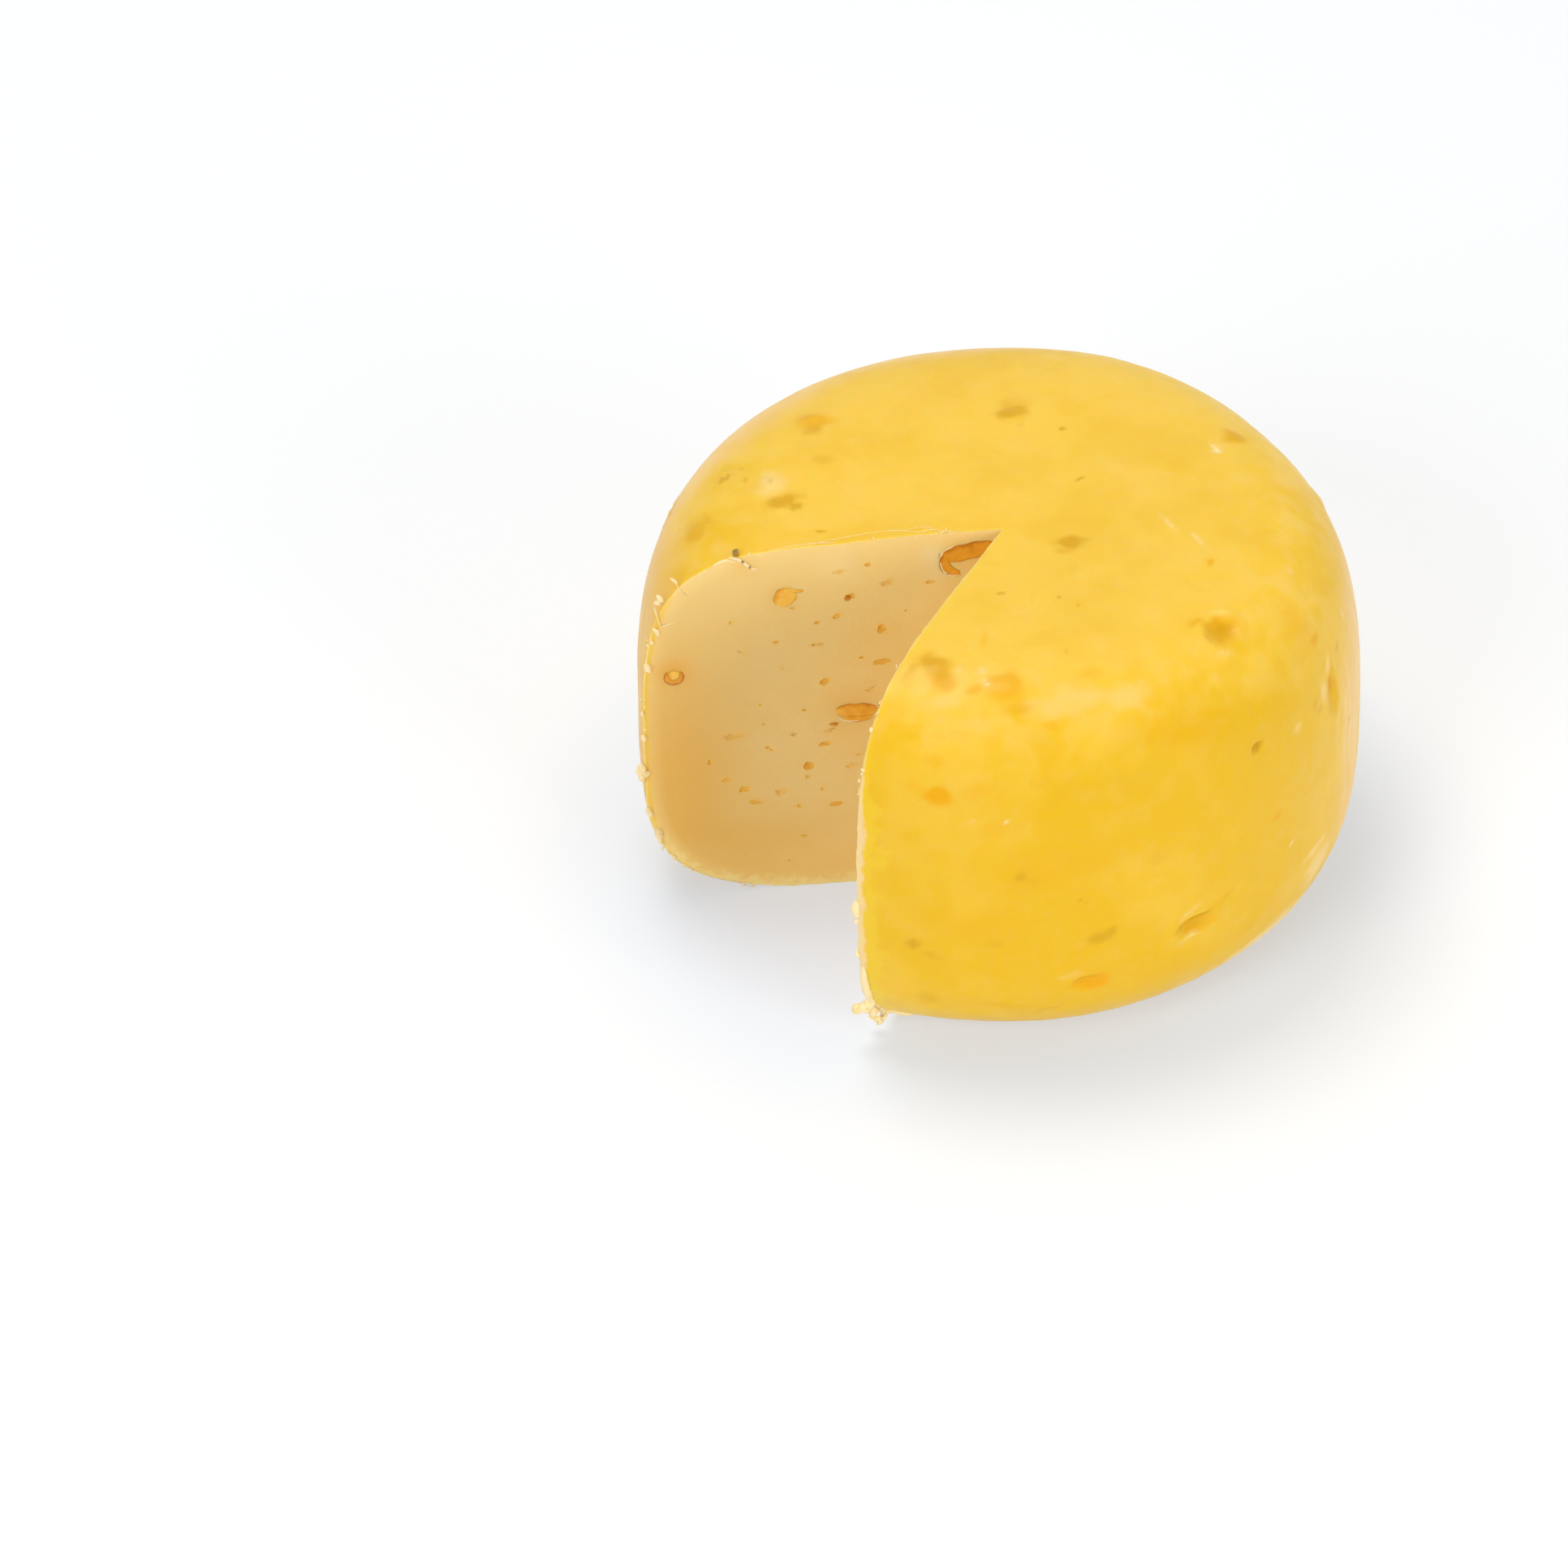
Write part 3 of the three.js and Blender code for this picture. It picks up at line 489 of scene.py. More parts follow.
# The tone holds each part's own darkness and skin, with the painted shadow and highlight
SEED_LAYERS = (
    ("seed", ("tone", 0, 0.4)),
    ("curd_rim", ("tone", -0.55, -0.25, 1, 0)),
    ("seed_dark", ("tone", 0.4, 0.85)),
    ("seed_bark", ("tone", 1.3, 1.6)),
)
CRUMB_LAYERS = (("coat_band", ("patches", 0.54, 0.7, 0, 0.5)),)

# Bumps: what is measured, and how deep it goes in mm
COAT_BUMPS = (("clouds", 0.8), ("patches", 0.22), ("peel", 0.08), ("creases", 0.4), ("pores", 0.02))
CURD_BUMPS = (("layers", 0.05), ("grain", 0.035))
FINE_BUMPS = (("grain", 0.05),)

# Numbers of the surfaces, by the names of the sockets
COAT_SURFACE = {
    "IOR": 1.3, "Subsurface Weight": 0.5, "Subsurface Radius": (1.0, 0.45, 0.12),
    "Subsurface Scale": 2.2 * MM}
CURD_SURFACE = {
    "IOR": 1.45, "Subsurface Weight": 0.45, "Subsurface Radius": (1.0, 0.6, 0.3),
    "Subsurface Scale": 1.2 * MM}
HOLE_SURFACE = {
    "Roughness": 0.6, "IOR": 1.4, "Subsurface Weight": 0.5, "Subsurface Radius": (1.0, 0.9, 0.8),
    "Subsurface Scale": 0.5 * MM}
SEAT_SURFACE = {"Roughness": 0.5, "IOR": 1.4}
SEED_SURFACE = {"Roughness": 0.38, "IOR": 1.4}
CRUMB_SURFACE = {"Roughness": 0.6, "IOR": 1.3}
FLOOR_SURFACE = {"Roughness": 0.9, "Specular IOR Level": 0.1, "Emission Strength": 1.0}


def plain_value(label, about, value, **kind):
    """A number for the panel."""
    return bpy.props.FloatProperty(name=label, description=about, default=value, **kind)


def length_value(label, about, value):
    """A length, given in mm."""
    return plain_value(label, about, value * MM, unit="LENGTH")


def angle_value(label, about, value):
    """An angle, given in degrees."""
    return plain_value(label, about, math.radians(value), subtype="ANGLE")


def power_value(label, about, value):
    """The power of a light, in watts."""
    return plain_value(label, about, value, unit="POWER")


def place_value(label, about, values):
    """Two lengths, given in mm."""
    return bpy.props.FloatVectorProperty(
        name=label, description=about, size=2, default=[value * MM for value in values], unit="LENGTH")


def colour_value(label, about, value):
    """A colour, in linear light."""
    return bpy.props.FloatVectorProperty(
        name=label, description=about, size=3, default=value, subtype="COLOR")


class GOUDA_PG_form(bpy.types.PropertyGroup):
    """Sizes of the cheese."""

    radius: length_value("Radius", "Mean radius of the round cheese", 52.5)
    crown: length_value("Crown", "From the widest place up to the top", 37.1)
    foot: length_value("Foot", "From the widest place to the lowest point, unsettled", 26.9)
    top_flatness: plain_value("Top flatness", "How flat the top is before it rounds over", 7.0)
    top_squareness: plain_value("Top squareness", "How upright the side is above the widest place", 3.1)
    foot_flatness: plain_value("Foot flatness", "How flat the base is before it rounds up", 5.9)
    foot_squareness: plain_value("Foot squareness", "How upright the side is under the widest place", 3.1)
    rest_radius: length_value("Rest radius", "Radius of the flat spot it stands on", 31)
    oval: plain_value("Oval", "Share by which it is out of round", 0.015)
    oval_azimuth: angle_value("Oval azimuth", "Where it is longest", 110)
    corner: place_value("Corner", "Where the two cuts meet, from the cheese's own axis", (0.6, -5.5))
    axis: place_value("Axis", "Where the cheese's own axis stands in the part's frame", (-0.22, -0.35))
    left_cut: angle_value("Left cut", "Azimuth of the cut that shows", -85.3)
    right_cut: angle_value("Right cut", "Azimuth of the cut that is turned away", -27.6)
    coating: length_value("Coating", "Thickness of the yellow coating", 0.75)
    seed_depth: length_value("Seed depth", "How deep a cut seed sits in the curd", 0.9)
    ragged: length_value("Ragged edge", "How far the rims of the cuts waver", 0.14)
    strip_widths: place_value("Strips", "Width of the torn strips by the left and the right cut", (0.15, 1.4))
    wear: length_value("Wear", "How deep the rims of the cuts are torn", 0.4)


class GOUDA_PG_finish(bpy.types.PropertyGroup):
    """Colours of the cheese."""

    coat_light: colour_value("Coating", "Main colour of the coating", (0.9, 0.575, 0.045))
    coat_deep: colour_value("Deep coating", "Coating where it lies thicker", (0.84, 0.505, 0.007))
    coat_pale: colour_value("Pale coating", "Coating where the curd shows through", (0.94, 0.65, 0.21))
    # Dried pale coating, also laid as painted pale sheen on the right and back edges
    coat_dry_and_sheen: colour_value(
        "Dry coating", "Coating that has dried pale and wrinkled at one side", (0.94, 0.61, 0.24))
    # Painted shade: the darker, peachier tone the rind shows where it turns away at the left edge
    coat_edge_shade: colour_value(
        "Peach coating", "Coating at the left, where the curd gives it a warmer tone", (0.81, 0.475, 0.135))
    coat_warm: colour_value("Warm spot", "A seed close under the coating", (0.87, 0.44, 0.004))
    coat_olive: colour_value("Olive spot", "A dark seed under the coating", (0.7, 0.375, 0.006))
    coat_rim: colour_value("Cut coating", "The thin line of coating in the cut", (0.89, 0.58, 0.06))
    coat_band: colour_value("Coating by the cut", "Coating that the knife bruised", (0.88, 0.61, 0.03))
    curd: colour_value("Curd", "Colour of the cut curd", (0.82, 0.592, 0.22))
    # Paler curd of the middle, also laid as painted light deep in the notch and at the top of the cut face
    curd_core_and_painted_light: colour_value("Core", "Colour of the curd in the middle of the cheese", (0.93, 0.69, 0.27))
    curd_rim: colour_value(
        "Curd by the rind", "Colour of the drier curd close to the rind", (0.82, 0.48, 0.09))
    curd_low: colour_value("Low curd", "Colour of the curd a little above the base", (0.96, 0.58, 0.12))
    curd_foot: colour_value(
        "Curd by the base", "Colour of the torn yellowish curd along the base", (0.98, 0.74, 0.27))
    curd_strip: colour_value(
        "Torn strip", "Colour of the strip where the knife tore the coating off", (0.95, 0.68, 0.32))
    curd_pale: colour_value(
        "Curd under the coating", "Colour of the pale line under the coating", (0.93, 0.67, 0.24))
    # Painted shade: darker and more saturated than the curd, standing in for the shade inside a hole
    curd_hole: colour_value("Hole", "Colour inside the small holes", (0.86, 0.51, 0.08))
    crumb: colour_value("Crumb", "Colour of torn curd", (0.98, 0.79, 0.43))
    seed_light: colour_value("Seed middle", "Colour of a cut seed's middle", (0.93, 0.53, 0.07))
    seed: colour_value("Seed", "Colour of a cut seed", (0.84, 0.37, 0.02))
    seed_dark: colour_value("Seed skin", "Colour of the seed's skin", (0.58, 0.19, 0.008))
    seed_bark: colour_value("Dry skin", "Colour of a dried scrap of skin", (0.36, 0.22, 0.05))


class GOUDA_PG_stage(bpy.types.PropertyGroup):
    """Camera, light and floor."""

    elevation: angle_value("Elevation", "How far the camera looks down", 39)
    roll: angle_value("Roll", "How far the camera is rolled", -1.085)
    distance: length_value("Distance", "From the camera to the middle of the cheese", 1429.4)
    focal_pixels: plain_value("Focal length", "Focal length in pixels of the picture", 12002.5)
    floor: colour_value("Floor", "Colour of the floor", (0.56, 0.57, 0.58))
    floor_glow: colour_value(
        "Floor glow", "Light of the floor itself, which keeps it white", (0.42, 0.42, 0.42))
    # Painted shadow: a dimmer, cooler glow close to the cheese, which darkens the floor round it and offsets
    # its yellow bounce light
    floor_glow_painted_shade: colour_value(
        "Floor glow nearby", "The same close to the cheese, where its yellow light falls", (0.29, 0.34, 0.41))
    sky: plain_value("Sky", "Brightness of the sky overhead", 0.5)
    sky_front: plain_value("Sky in front", "Brightness of the sky low in front", 0.2)
    sky_back: plain_value("Sky behind", "Brightness of the sky low behind the cheese", 0.8)
    sky_left: plain_value("Sky at the left", "Share of the low sky's light that comes from the left", 0.4)
    key: power_value("Key light", "Power of the light overhead", 4.0)
    left_fill: power_value("Left front light", "Power of the light that shines into the notch", 10.5)
    right_fill: power_value("Right front light", "Power of the light on the right side", 9.5)


class Draw:
    """Seeded draws that give the same numbers as the rule in the solid."""

    def __init__(self):
        self.state = DRAW_START

    def between(self, limits):
        """The next draw between two limits."""
        low, high = limits
        self.state = (self.state * DRAW_FACTOR + DRAW_STEP) % DRAW_RANGE
        return low + (high - low) * (self.state / DRAW_RANGE)


def smoothstep(low, high, value):
    """0 under low, 1 over high, and smooth between."""
    share = np.clip((value - low) / (high - low), 0, 1)
    return share * share * (3 - 2 * share)


def back_marks(draw):
    """Marks for the side that faces away, evenly round it."""
    pitch = (BACK_AZIMUTHS[1] - BACK_AZIMUTHS[0]) / BACK_MARK_COUNT
    marks = []
    for count in range(BACK_MARK_COUNT):
        azimuth = BACK_AZIMUTHS[0] + pitch * (count + draw.between(BACK_MARK_PLACE))
        tilt = draw.between(BACK_TILTS)
        across = draw.between(BACK_MARK_ACROSS)
        up = draw.between(BACK_MARK_UP)
        depth = draw.between(BACK_MARK_DEPTH)
        height = depth if count % 2 == 0 else -depth
        tints = BACK_TINTS[count % len(BACK_TINTS)]
        marks.append((azimuth, tilt, across, up, BACK_RELIEF * height, *tints))
    return marks


def scattered_holes(draw, taken, count, clearance, lengths, widths):
    """Holes for a cut face, clear of what is there and of each other."""
    holes = []
    while len(holes) < count:
        spot = (draw.between(RIGHT_HOLE_FIELD[0]), draw.between(RIGHT_HOLE_FIELD[1]))
        if all(math.dist(spot, other) > clearance for other in taken):
            taken.append(spot)
            length = draw.between(lengths)
            width = draw.between(widths)
            holes.append((*spot, length, width, draw.between(RIGHT_HOLE_TURN)))
    return holes


class RoundCheese:
    """The uncut cheese: what it fills, and where a ray from inside meets its rind.

    Its own origin is on its axis, at the height of the widest place.
    """

    def __init__(self, form):
        self.form = form
        self.tilts = np.linspace(-math.pi / 2, math.pi / 2, TABLE_STEPS)
        self.reaches = self.profile(self.tilts)
        share = (form.rest_radius / form.radius) ** form.foot_flatness
        self.rest_drop = form.foot * (1 - share) ** (1 / form.foot_squareness)
        self.place = np.array([form.axis[0], form.axis[1], self.rest_drop])

    def profile(self, tilts):
        """How far the profile reaches from the middle of the widest place."""
        form = self.form
        above = tilts > 0
        out = np.abs(np.cos(tilts)) / form.radius
        rise = np.abs(np.sin(tilts)) / np.where(above, form.crown, form.foot)
        flatness = np.where(above, form.top_flatness, form.foot_flatness)
        squareness = np.where(above, form.top_squareness, form.foot_squareness)
        near = np.zeros_like(tilts)
        far = np.full_like(tilts, form.radius + form.crown)
        for _ in range(HALVINGS):
            middle = (near + far) / 2
            inside = (middle * out) ** flatness + (middle * rise) ** squareness < 1
            near = np.where(inside, middle, near)
            far = np.where(inside, far, middle)
        return near

    def oval(self, points):
        """How much the rind is pushed out at each point's azimuth."""
        azimuth = np.arctan2(points[..., 0], -points[..., 1])
        return 1 + self.form.oval * np.cos(2 * (azimuth - self.form.oval_azimuth))

    def reach(self, outward):
        """Reach of the rind along unit vectors, before it is pushed out of round."""
        tilt = np.arcsin(np.clip(outward[..., 2], -1, 1))
        reach = np.interp(tilt, self.tilts, self.reaches)
        share = smoothstep(*EVEN_BELOW, tilt)
        for size, wave, phase in UNEVENNESS:
            reach = reach + share * size * np.sin(outward @ np.array(wave) + math.radians(phase))
        return reach

    def fills(self, points):
        """Whether each point lies inside the rind, with the flat spot left out."""
        oval = self.oval(points)[..., None]
        straight = points / np.concatenate([oval, oval, np.ones_like(oval)], -1)
        length = np.linalg.norm(straight, axis=-1)
        return length < self.reach(straight / length[..., None])

    def ray_ends(self, start, directions):
        """Where rays from a point inside meet the rind or the flat spot."""
        near = np.full(directions.shape[:-1], NEAREST)
        far = np.full(directions.shape[:-1], self.form.radius + self.form.crown)
        for _ in range(HALVINGS):
            middle = (near + far) / 2
            inside = self.fills(start + directions * middle[..., None])
            near = np.where(inside, middle, near)
            far = np.where(inside, far, middle)
        down = np.maximum(-directions[..., 2], TINY)
        length = np.minimum(near, np.where(directions[..., 2] < 0, self.rest_drop / down, near))
        return start + directions * length[..., None]

    def rind_point(self, azimuth, tilt):
        """One point of the rind in the part's frame, from angles in radians."""
        flat = math.cos(tilt)
        outward = np.array([flat * math.sin(azimuth), -flat * math.cos(azimuth), math.sin(tilt)])
        oval = float(self.oval(outward))
        point = outward * float(self.reach(outward)) * np.array([oval, oval, 1])
        point[2] = max(point[2], -self.rest_drop)
        return point + self.place

    def rind_axes(self, azimuth, tilt):
        """A rind point with the directions round, up and out, as one matrix of columns."""
        side = self.rind_point(azimuth + ANGLE_STEP, tilt) - self.rind_point(azimuth - ANGLE_STEP, tilt)
        rise = self.rind_point(azimuth, tilt + ANGLE_STEP) - self.rind_point(azimuth, tilt - ANGLE_STEP)
        side /= np.linalg.norm(side)
        outward = np.cross(side, rise)
        outward /= np.linalg.norm(outward)
        return self.rind_point(azimuth, tilt), np.stack([side, np.cross(outward, side), outward], 1)


class Cut:
    """One of the two cuts: its plane, and where things stand in it."""

    def __init__(self, form, azimuth, side):
        self.direction = np.array([math.sin(azimuth), -math.cos(azimuth), 0.0])
        self.corner = np.array([form.corner[0] + form.axis[0], form.corner[1] + form.axis[1], 0.0])
        self.up = np.array([0.0, 0.0, 1.0])
        self.outward = np.cross(self.direction, self.up) * side
        self.across = np.cross(self.up, self.outward)

    def place(self, along, up, depth=0.0):
        """A point by its distance from the corner, its height and its depth in the curd."""
        return self.corner + self.direction * along + self.up * up - self.outward * depth

    def matrix(self, along, up, turn=0.0, depth=0.0):
        """For someone who looks at the face: X to the right, Y up, Z out of the curd. Lengths in mm."""
        axes = Matrix((self.across, self.up, self.outward)).transposed().to_4x4()
        place = Matrix.Translation(Vector(self.place(along * MM, up * MM, depth * MM)))
        return place @ axes @ Matrix.Rotation(math.radians(turn), 4, "Z")

    def over(self, points):
        """How far points stand out of the cut plane."""
        return (points - self.corner) @ self.outward


def both_cuts(form):
    """The left cut, which shows, and the right one, which is turned away."""
    return Cut(form, form.left_cut, -1), Cut(form, form.right_cut, 1)


def mesh_object(name, vertices, faces, materials=(), smooth=True):
    """A mesh object in the part's frame."""
    mesh = bpy.data.meshes.new(name)
    mesh.from_pydata([tuple(v) for v in vertices], [], [tuple(f) for f in faces])
    mesh.update()
    for material in materials:
        mesh.materials.append(material)
    if smooth:
        mesh.shade_smooth()
    piece = bpy.data.objects.new(name, mesh)
    bpy.context.scene.collection.objects.link(piece)
    return piece


def grid_faces(grid, flip=False):
    """Faces of a grid of vertex numbers, with triangles where a side has shrunk to a point."""
    first = grid[:-1, :-1].ravel()
    second = grid[1:, :-1].ravel()
    third = grid[1:, 1:].ravel()
    fourth = grid[:-1, 1:].ravel()
    faces = []
    for face in zip(first.tolist(), second.tolist(), third.tolist(), fourth.tolist()):
        corners = list(dict.fromkeys(face))
        if len(corners) > 2:
            faces.append(corners[::-1] if flip else corners)
    return faces


def mesh_points(mesh):
    """All vertices of a mesh as an array."""
    points = np.zeros(len(mesh.vertices) * 3)
    mesh.vertices.foreach_get("co", points)
    return points.reshape(-1, 3)


def store_tints(mesh, name, tints):
    """Keeps three numbers per vertex for the material to read."""
    attribute = mesh.attributes.new(name, "FLOAT_VECTOR", "POINT")
    attribute.data.foreach_set("vector", np.asarray(tints, np.float32).ravel())


def noise_values(points, size, offset=0.0):
    """Smooth noise between -1 and 1 with features of a given size."""
    moved = points / size + offset
    return np.array([noise.noise(Vector(point)) for point in moved])


class Nodes:
    """Adds nodes to one tree."""

    def __init__(self, tree):
        self.tree = tree

    def node(self, kind, links=(), **settings):
        """A new node with its settings, and with values or outputs fed to its inputs."""
        made = self.tree.nodes.new(kind)
        for name, value in settings.items():
            setattr(made, name, value)
        for name, value in dict(links).items():
            self.feed(made.inputs[name], value)
        return made

    def feed(self, socket, value):
        """Links an output to a socket, or sets the socket's own value."""
        if isinstance(value, bpy.types.NodeSocket):
            self.tree.links.new(value, socket)
        elif socket.type == "RGBA":
            socket.default_value = (*value, 1.0)
        else:
            socket.default_value = value


class Shader(Nodes):
    """Builds the node tree of one material from layers of colour."""

    def __init__(self, name, colours, base, noises=None):
        self.material = bpy.data.materials.new(name)
        self.material.use_nodes = True
        super().__init__(self.material.node_tree)
        self.surface = self.tree.nodes["Principled BSDF"]
        self.place = self.tree.nodes.new("ShaderNodeTexCoord").outputs["Object"]
        self.colours = colours
        self.colour = getattr(colours, base)
        self.measures = {label: self.noise(*numbers) for label, numbers in (noises or {}).items()}
        self.measures["height"] = self.reach((0, 0, 1))

    def noise(self, scale, detail, roughness, distortion=0.0):
        """A noise texture, with features of about one over the scale in metres."""
        place = self.place
        if isinstance(scale, tuple):
            place = self.node("ShaderNodeMapping", {"Vector": place, "Scale": scale}).outputs["Vector"]
            scale = 1.0
        return self.node("ShaderNodeTexNoise", {
            "Vector": place, "Scale": scale, "Detail": detail, "Roughness": roughness,
            "Distortion": distortion}).outputs["Fac"]

    def ramp(self, name, start=None, end=None, low=0.0, high=1.0, smooth=True):
        """A measure as it is, or taken from one range to another and held there."""
        if start is None:
            return self.measures[name]
        unit = MM if name in LENGTHS else 1
        return self.node("ShaderNodeMapRange", {
            "Value": self.measures[name], "From Min": start * unit, "From Max": end * unit, "To Min": low,
            "To Max": high}, interpolation_type="SMOOTHSTEP" if smooth else "LINEAR").outputs["Result"]

    def math(self, operation, first, second=0.0, clamp=False):
        """Two numbers joined by an operation."""
        return self.node("ShaderNodeMath", {0: first, 1: second}, operation=operation,
                         use_clamp=clamp).outputs["Value"]

    def product(self, ramps):
        """The product of several ramps."""
        share = self.ramp(*ramps[0])
        for ramp in ramps[1:]:
            share = self.math("MULTIPLY", share, self.ramp(*ramp))
        return share

    def mix(self, share, first, second):
        """Two colours mixed by a share."""
        return self.node("ShaderNodeMix", {"Factor": share, "A": first, "B": second},
                         data_type="RGBA").outputs["Result"]

    def cover(self, tint, share):
        """Lays a colour over the ones before."""
        self.colour = self.mix(share, self.colour, getattr(self.colours, tint))

    def lay(self, layers):
        """Lays several colours over the ones before, each by the product of its ramps."""
        for tint, *ramps in layers:
            self.cover(tint, self.product(ramps))

    def tints(self, name):
        """The three numbers that a mesh keeps per vertex."""
        made = self.node("ShaderNodeAttribute", attribute_name=name)
        parts = self.node("ShaderNodeSeparateXYZ", {0: made.outputs["Vector"]})
        return parts.outputs["X"], parts.outputs["Y"], parts.outputs["Z"]

    def reach(self, direction, origin=(0, 0, 0)):
        """Distance along a direction from an origin."""
        made = self.node("ShaderNodeVectorMath", {0: self.place, 1: tuple(direction)},
                         operation="DOT_PRODUCT")
        return self.math("SUBTRACT", made.outputs["Value"], float(np.dot(origin, direction)))

    def finish(self, surface, bumps=(), **more):
        """Sets the surface's own sockets, with bumps one on the other."""
        normal = {}
        for name, depth in bumps:
            bump = self.node("ShaderNodeBump", {
                "Height": self.measures[name], "Strength": 1.0, "Distance": depth * MM, **normal})
            normal = {"Normal": bump.outputs["Normal"]}
        for name, value in {"Base_Color": self.colour, **normal, **surface, **more}.items():
            self.feed(self.surface.inputs[name.replace("_", " ")], value)
        return self.material


def coating_material(finish, form, cuts):
    """The satin yellow coating over the rind."""
    shader = Shader("yellow_coating", finish, "coat_light", COAT_NOISES)
    measures = shader.measures
    for name, way in (("side", (1, 0, 0)), ("left", (-1, 0, 0)), ("behind", (0, 1, 0))):
        measures[name] = shader.reach(way)
    warm, measures["olive"], measures["pale"] = shader.tints("rind_tints")
    low, cloudy = [shader.ramp(*ramp) for ramp in COAT_THICKNESS]
    shader.cover("coat_deep", shader.math("ADD", low, cloudy, True))
    shoulder = shader.math("MULTIPLY", shader.product(SHOULDER), CLUMPS_ON_SHOULDER)
    measures["clumps"] = shader.math("ADD", shoulder, CLUMPS_ALL_OVER)
    measures["back"] = shader.math("MAXIMUM", *[shader.reach(way) for way in BACK_WAYS])
    # Noise that breaks up the painted shade and sheen along the edges
    measures["edge_breakup_clouds"] = shader.math("ADD", measures["clouds"], measures["patches"])
    measures["edge_breakup"] = shader.ramp(*EDGE_BREAKUP)
    # Right edge: dried, wrinkled coating with painted pale grazing sheen; back edge: painted pale sheen only
    dry_side_and_sheen = shader.product(DRY_SIDE_AND_SHEEN)
    measures["creases"] = shader.math("MULTIPLY", measures["folds"], dry_side_and_sheen)
    folded = shader.math("MULTIPLY", dry_side_and_sheen, shader.product(DRY_FOLDS))
    measures["dry_skin_and_sheen"] = shader.math("MAXIMUM", folded, shader.product(BACK_EDGE_SHEEN))
    # Painted shade on the left edge, darker and peachier where the rind turns away
    edge_shade_places = shader.math("MAXIMUM", *[shader.product(ramps) for ramps in EDGE_SHADE_PLACES])
    measures["left_edge_shade"] = shader.math("MULTIPLY", shader.product(EDGE_SHADE_SHARE), edge_shade_places)
    shader.lay(COAT_LAYERS)
    blotches = ((measures["pale"], "coat_pale"), (warm, "coat_warm"), (measures["olive"], "coat_olive"))
    for share, tint in blotches:
        measures["blotched"] = shader.math("ADD", share, measures["blotch"])
        ragged = shader.ramp("blotched", *RAGGED_TINT)
        shader.cover(tint, shader.math("MULTIPLY", share, ragged, True))
    shader.lay(WHITE_SPOTS)
    for cut, width in zip(cuts, form.strip_widths):
        gap = shader.math("ABSOLUTE", shader.reach(cut.outward, cut.corner))
        wide = shader.math("MULTIPLY", shader.ramp(*TORN_NARROWS), width)
        gap = shader.math("MULTIPLY", gap, shader.ramp(*TORN_WAVER))
        measures["strips"] = shader.math("DIVIDE", gap, wide)
        measures["beside"] = shader.reach(cut.direction, cut.corner)
        shader.lay(CUT_LAYERS)
    shader.lay(COAT_TOP_LAYERS)
    return shader.finish(COAT_SURFACE, COAT_BUMPS, Roughness=shader.ramp(*COAT_GLOSS))


def hole_material(finish):
    """The inside of the small holes, darker than the curd: painted shade of the recess."""
    shader = Shader("curd_hole", finish, "curd_hole", HOLE_NOISES)
    shader.lay(HOLE_LAYERS)
    return shader.finish(HOLE_SURFACE)


def seat_material(finish):
    """The curd that a seed has stained, where they touch."""
    return Shader("stained_curd", finish, "seed").finish(SEAT_SURFACE)


def curd_material(finish, form):
    """The cut curd: deeper in colour towards the rind."""
    shader = Shader("cut_curd", finish, "curd", CURD_NOISES)
    measures = shader.measures
    measures["skin"], measures["middle"], measures["stain"] = shader.tints("curd_tints")
    measures["hole"], _, _ = shader.tints("hole_shade_tints")
    low, high = [shader.ramp(*ramp) for ramp in UNDER_COAT]
    measures["under_coat"] = shader.math("ADD", low, high, True)
    uneven = shader.math("ADD", measures["skin"], shader.ramp(*GRAIN_WAVER))
    measures["depth"] = shader.math("SUBTRACT", uneven, form.coating)
    measures["foot_skin"] = shader.math("ADD", measures["skin"], shader.ramp(*FOOT_WAVER))
    shader.lay(CURD_LAYERS)
    return shader.finish(CURD_SURFACE, CURD_BUMPS, Roughness=shader.ramp(*CURD_GLOSS))


def seed_material(finish):
    """A swollen seed, cut by the knife: amber inside, darker along its skin, painted shadow above and
    highlight below.
    """
    shader = Shader("fenugreek_seed", finish, "seed_light", SEED_NOISES)
    skin, _, _ = shader.tints("seed_skin_and_shade")
    shader.measures["tone"] = shader.math("ADD", skin, shader.ramp(*SEED_WAVER))
    shader.lay(SEED_LAYERS)
    return shader.finish(SEED_SURFACE, FINE_BUMPS)


def crumb_material(finish):
    """Torn curd and scraps of coating."""
    shader = Shader("torn_curd", finish, "crumb", CRUMB_NOISES)
    shader.lay(CRUMB_LAYERS)
    return shader.finish(CRUMB_SURFACE, FINE_BUMPS)


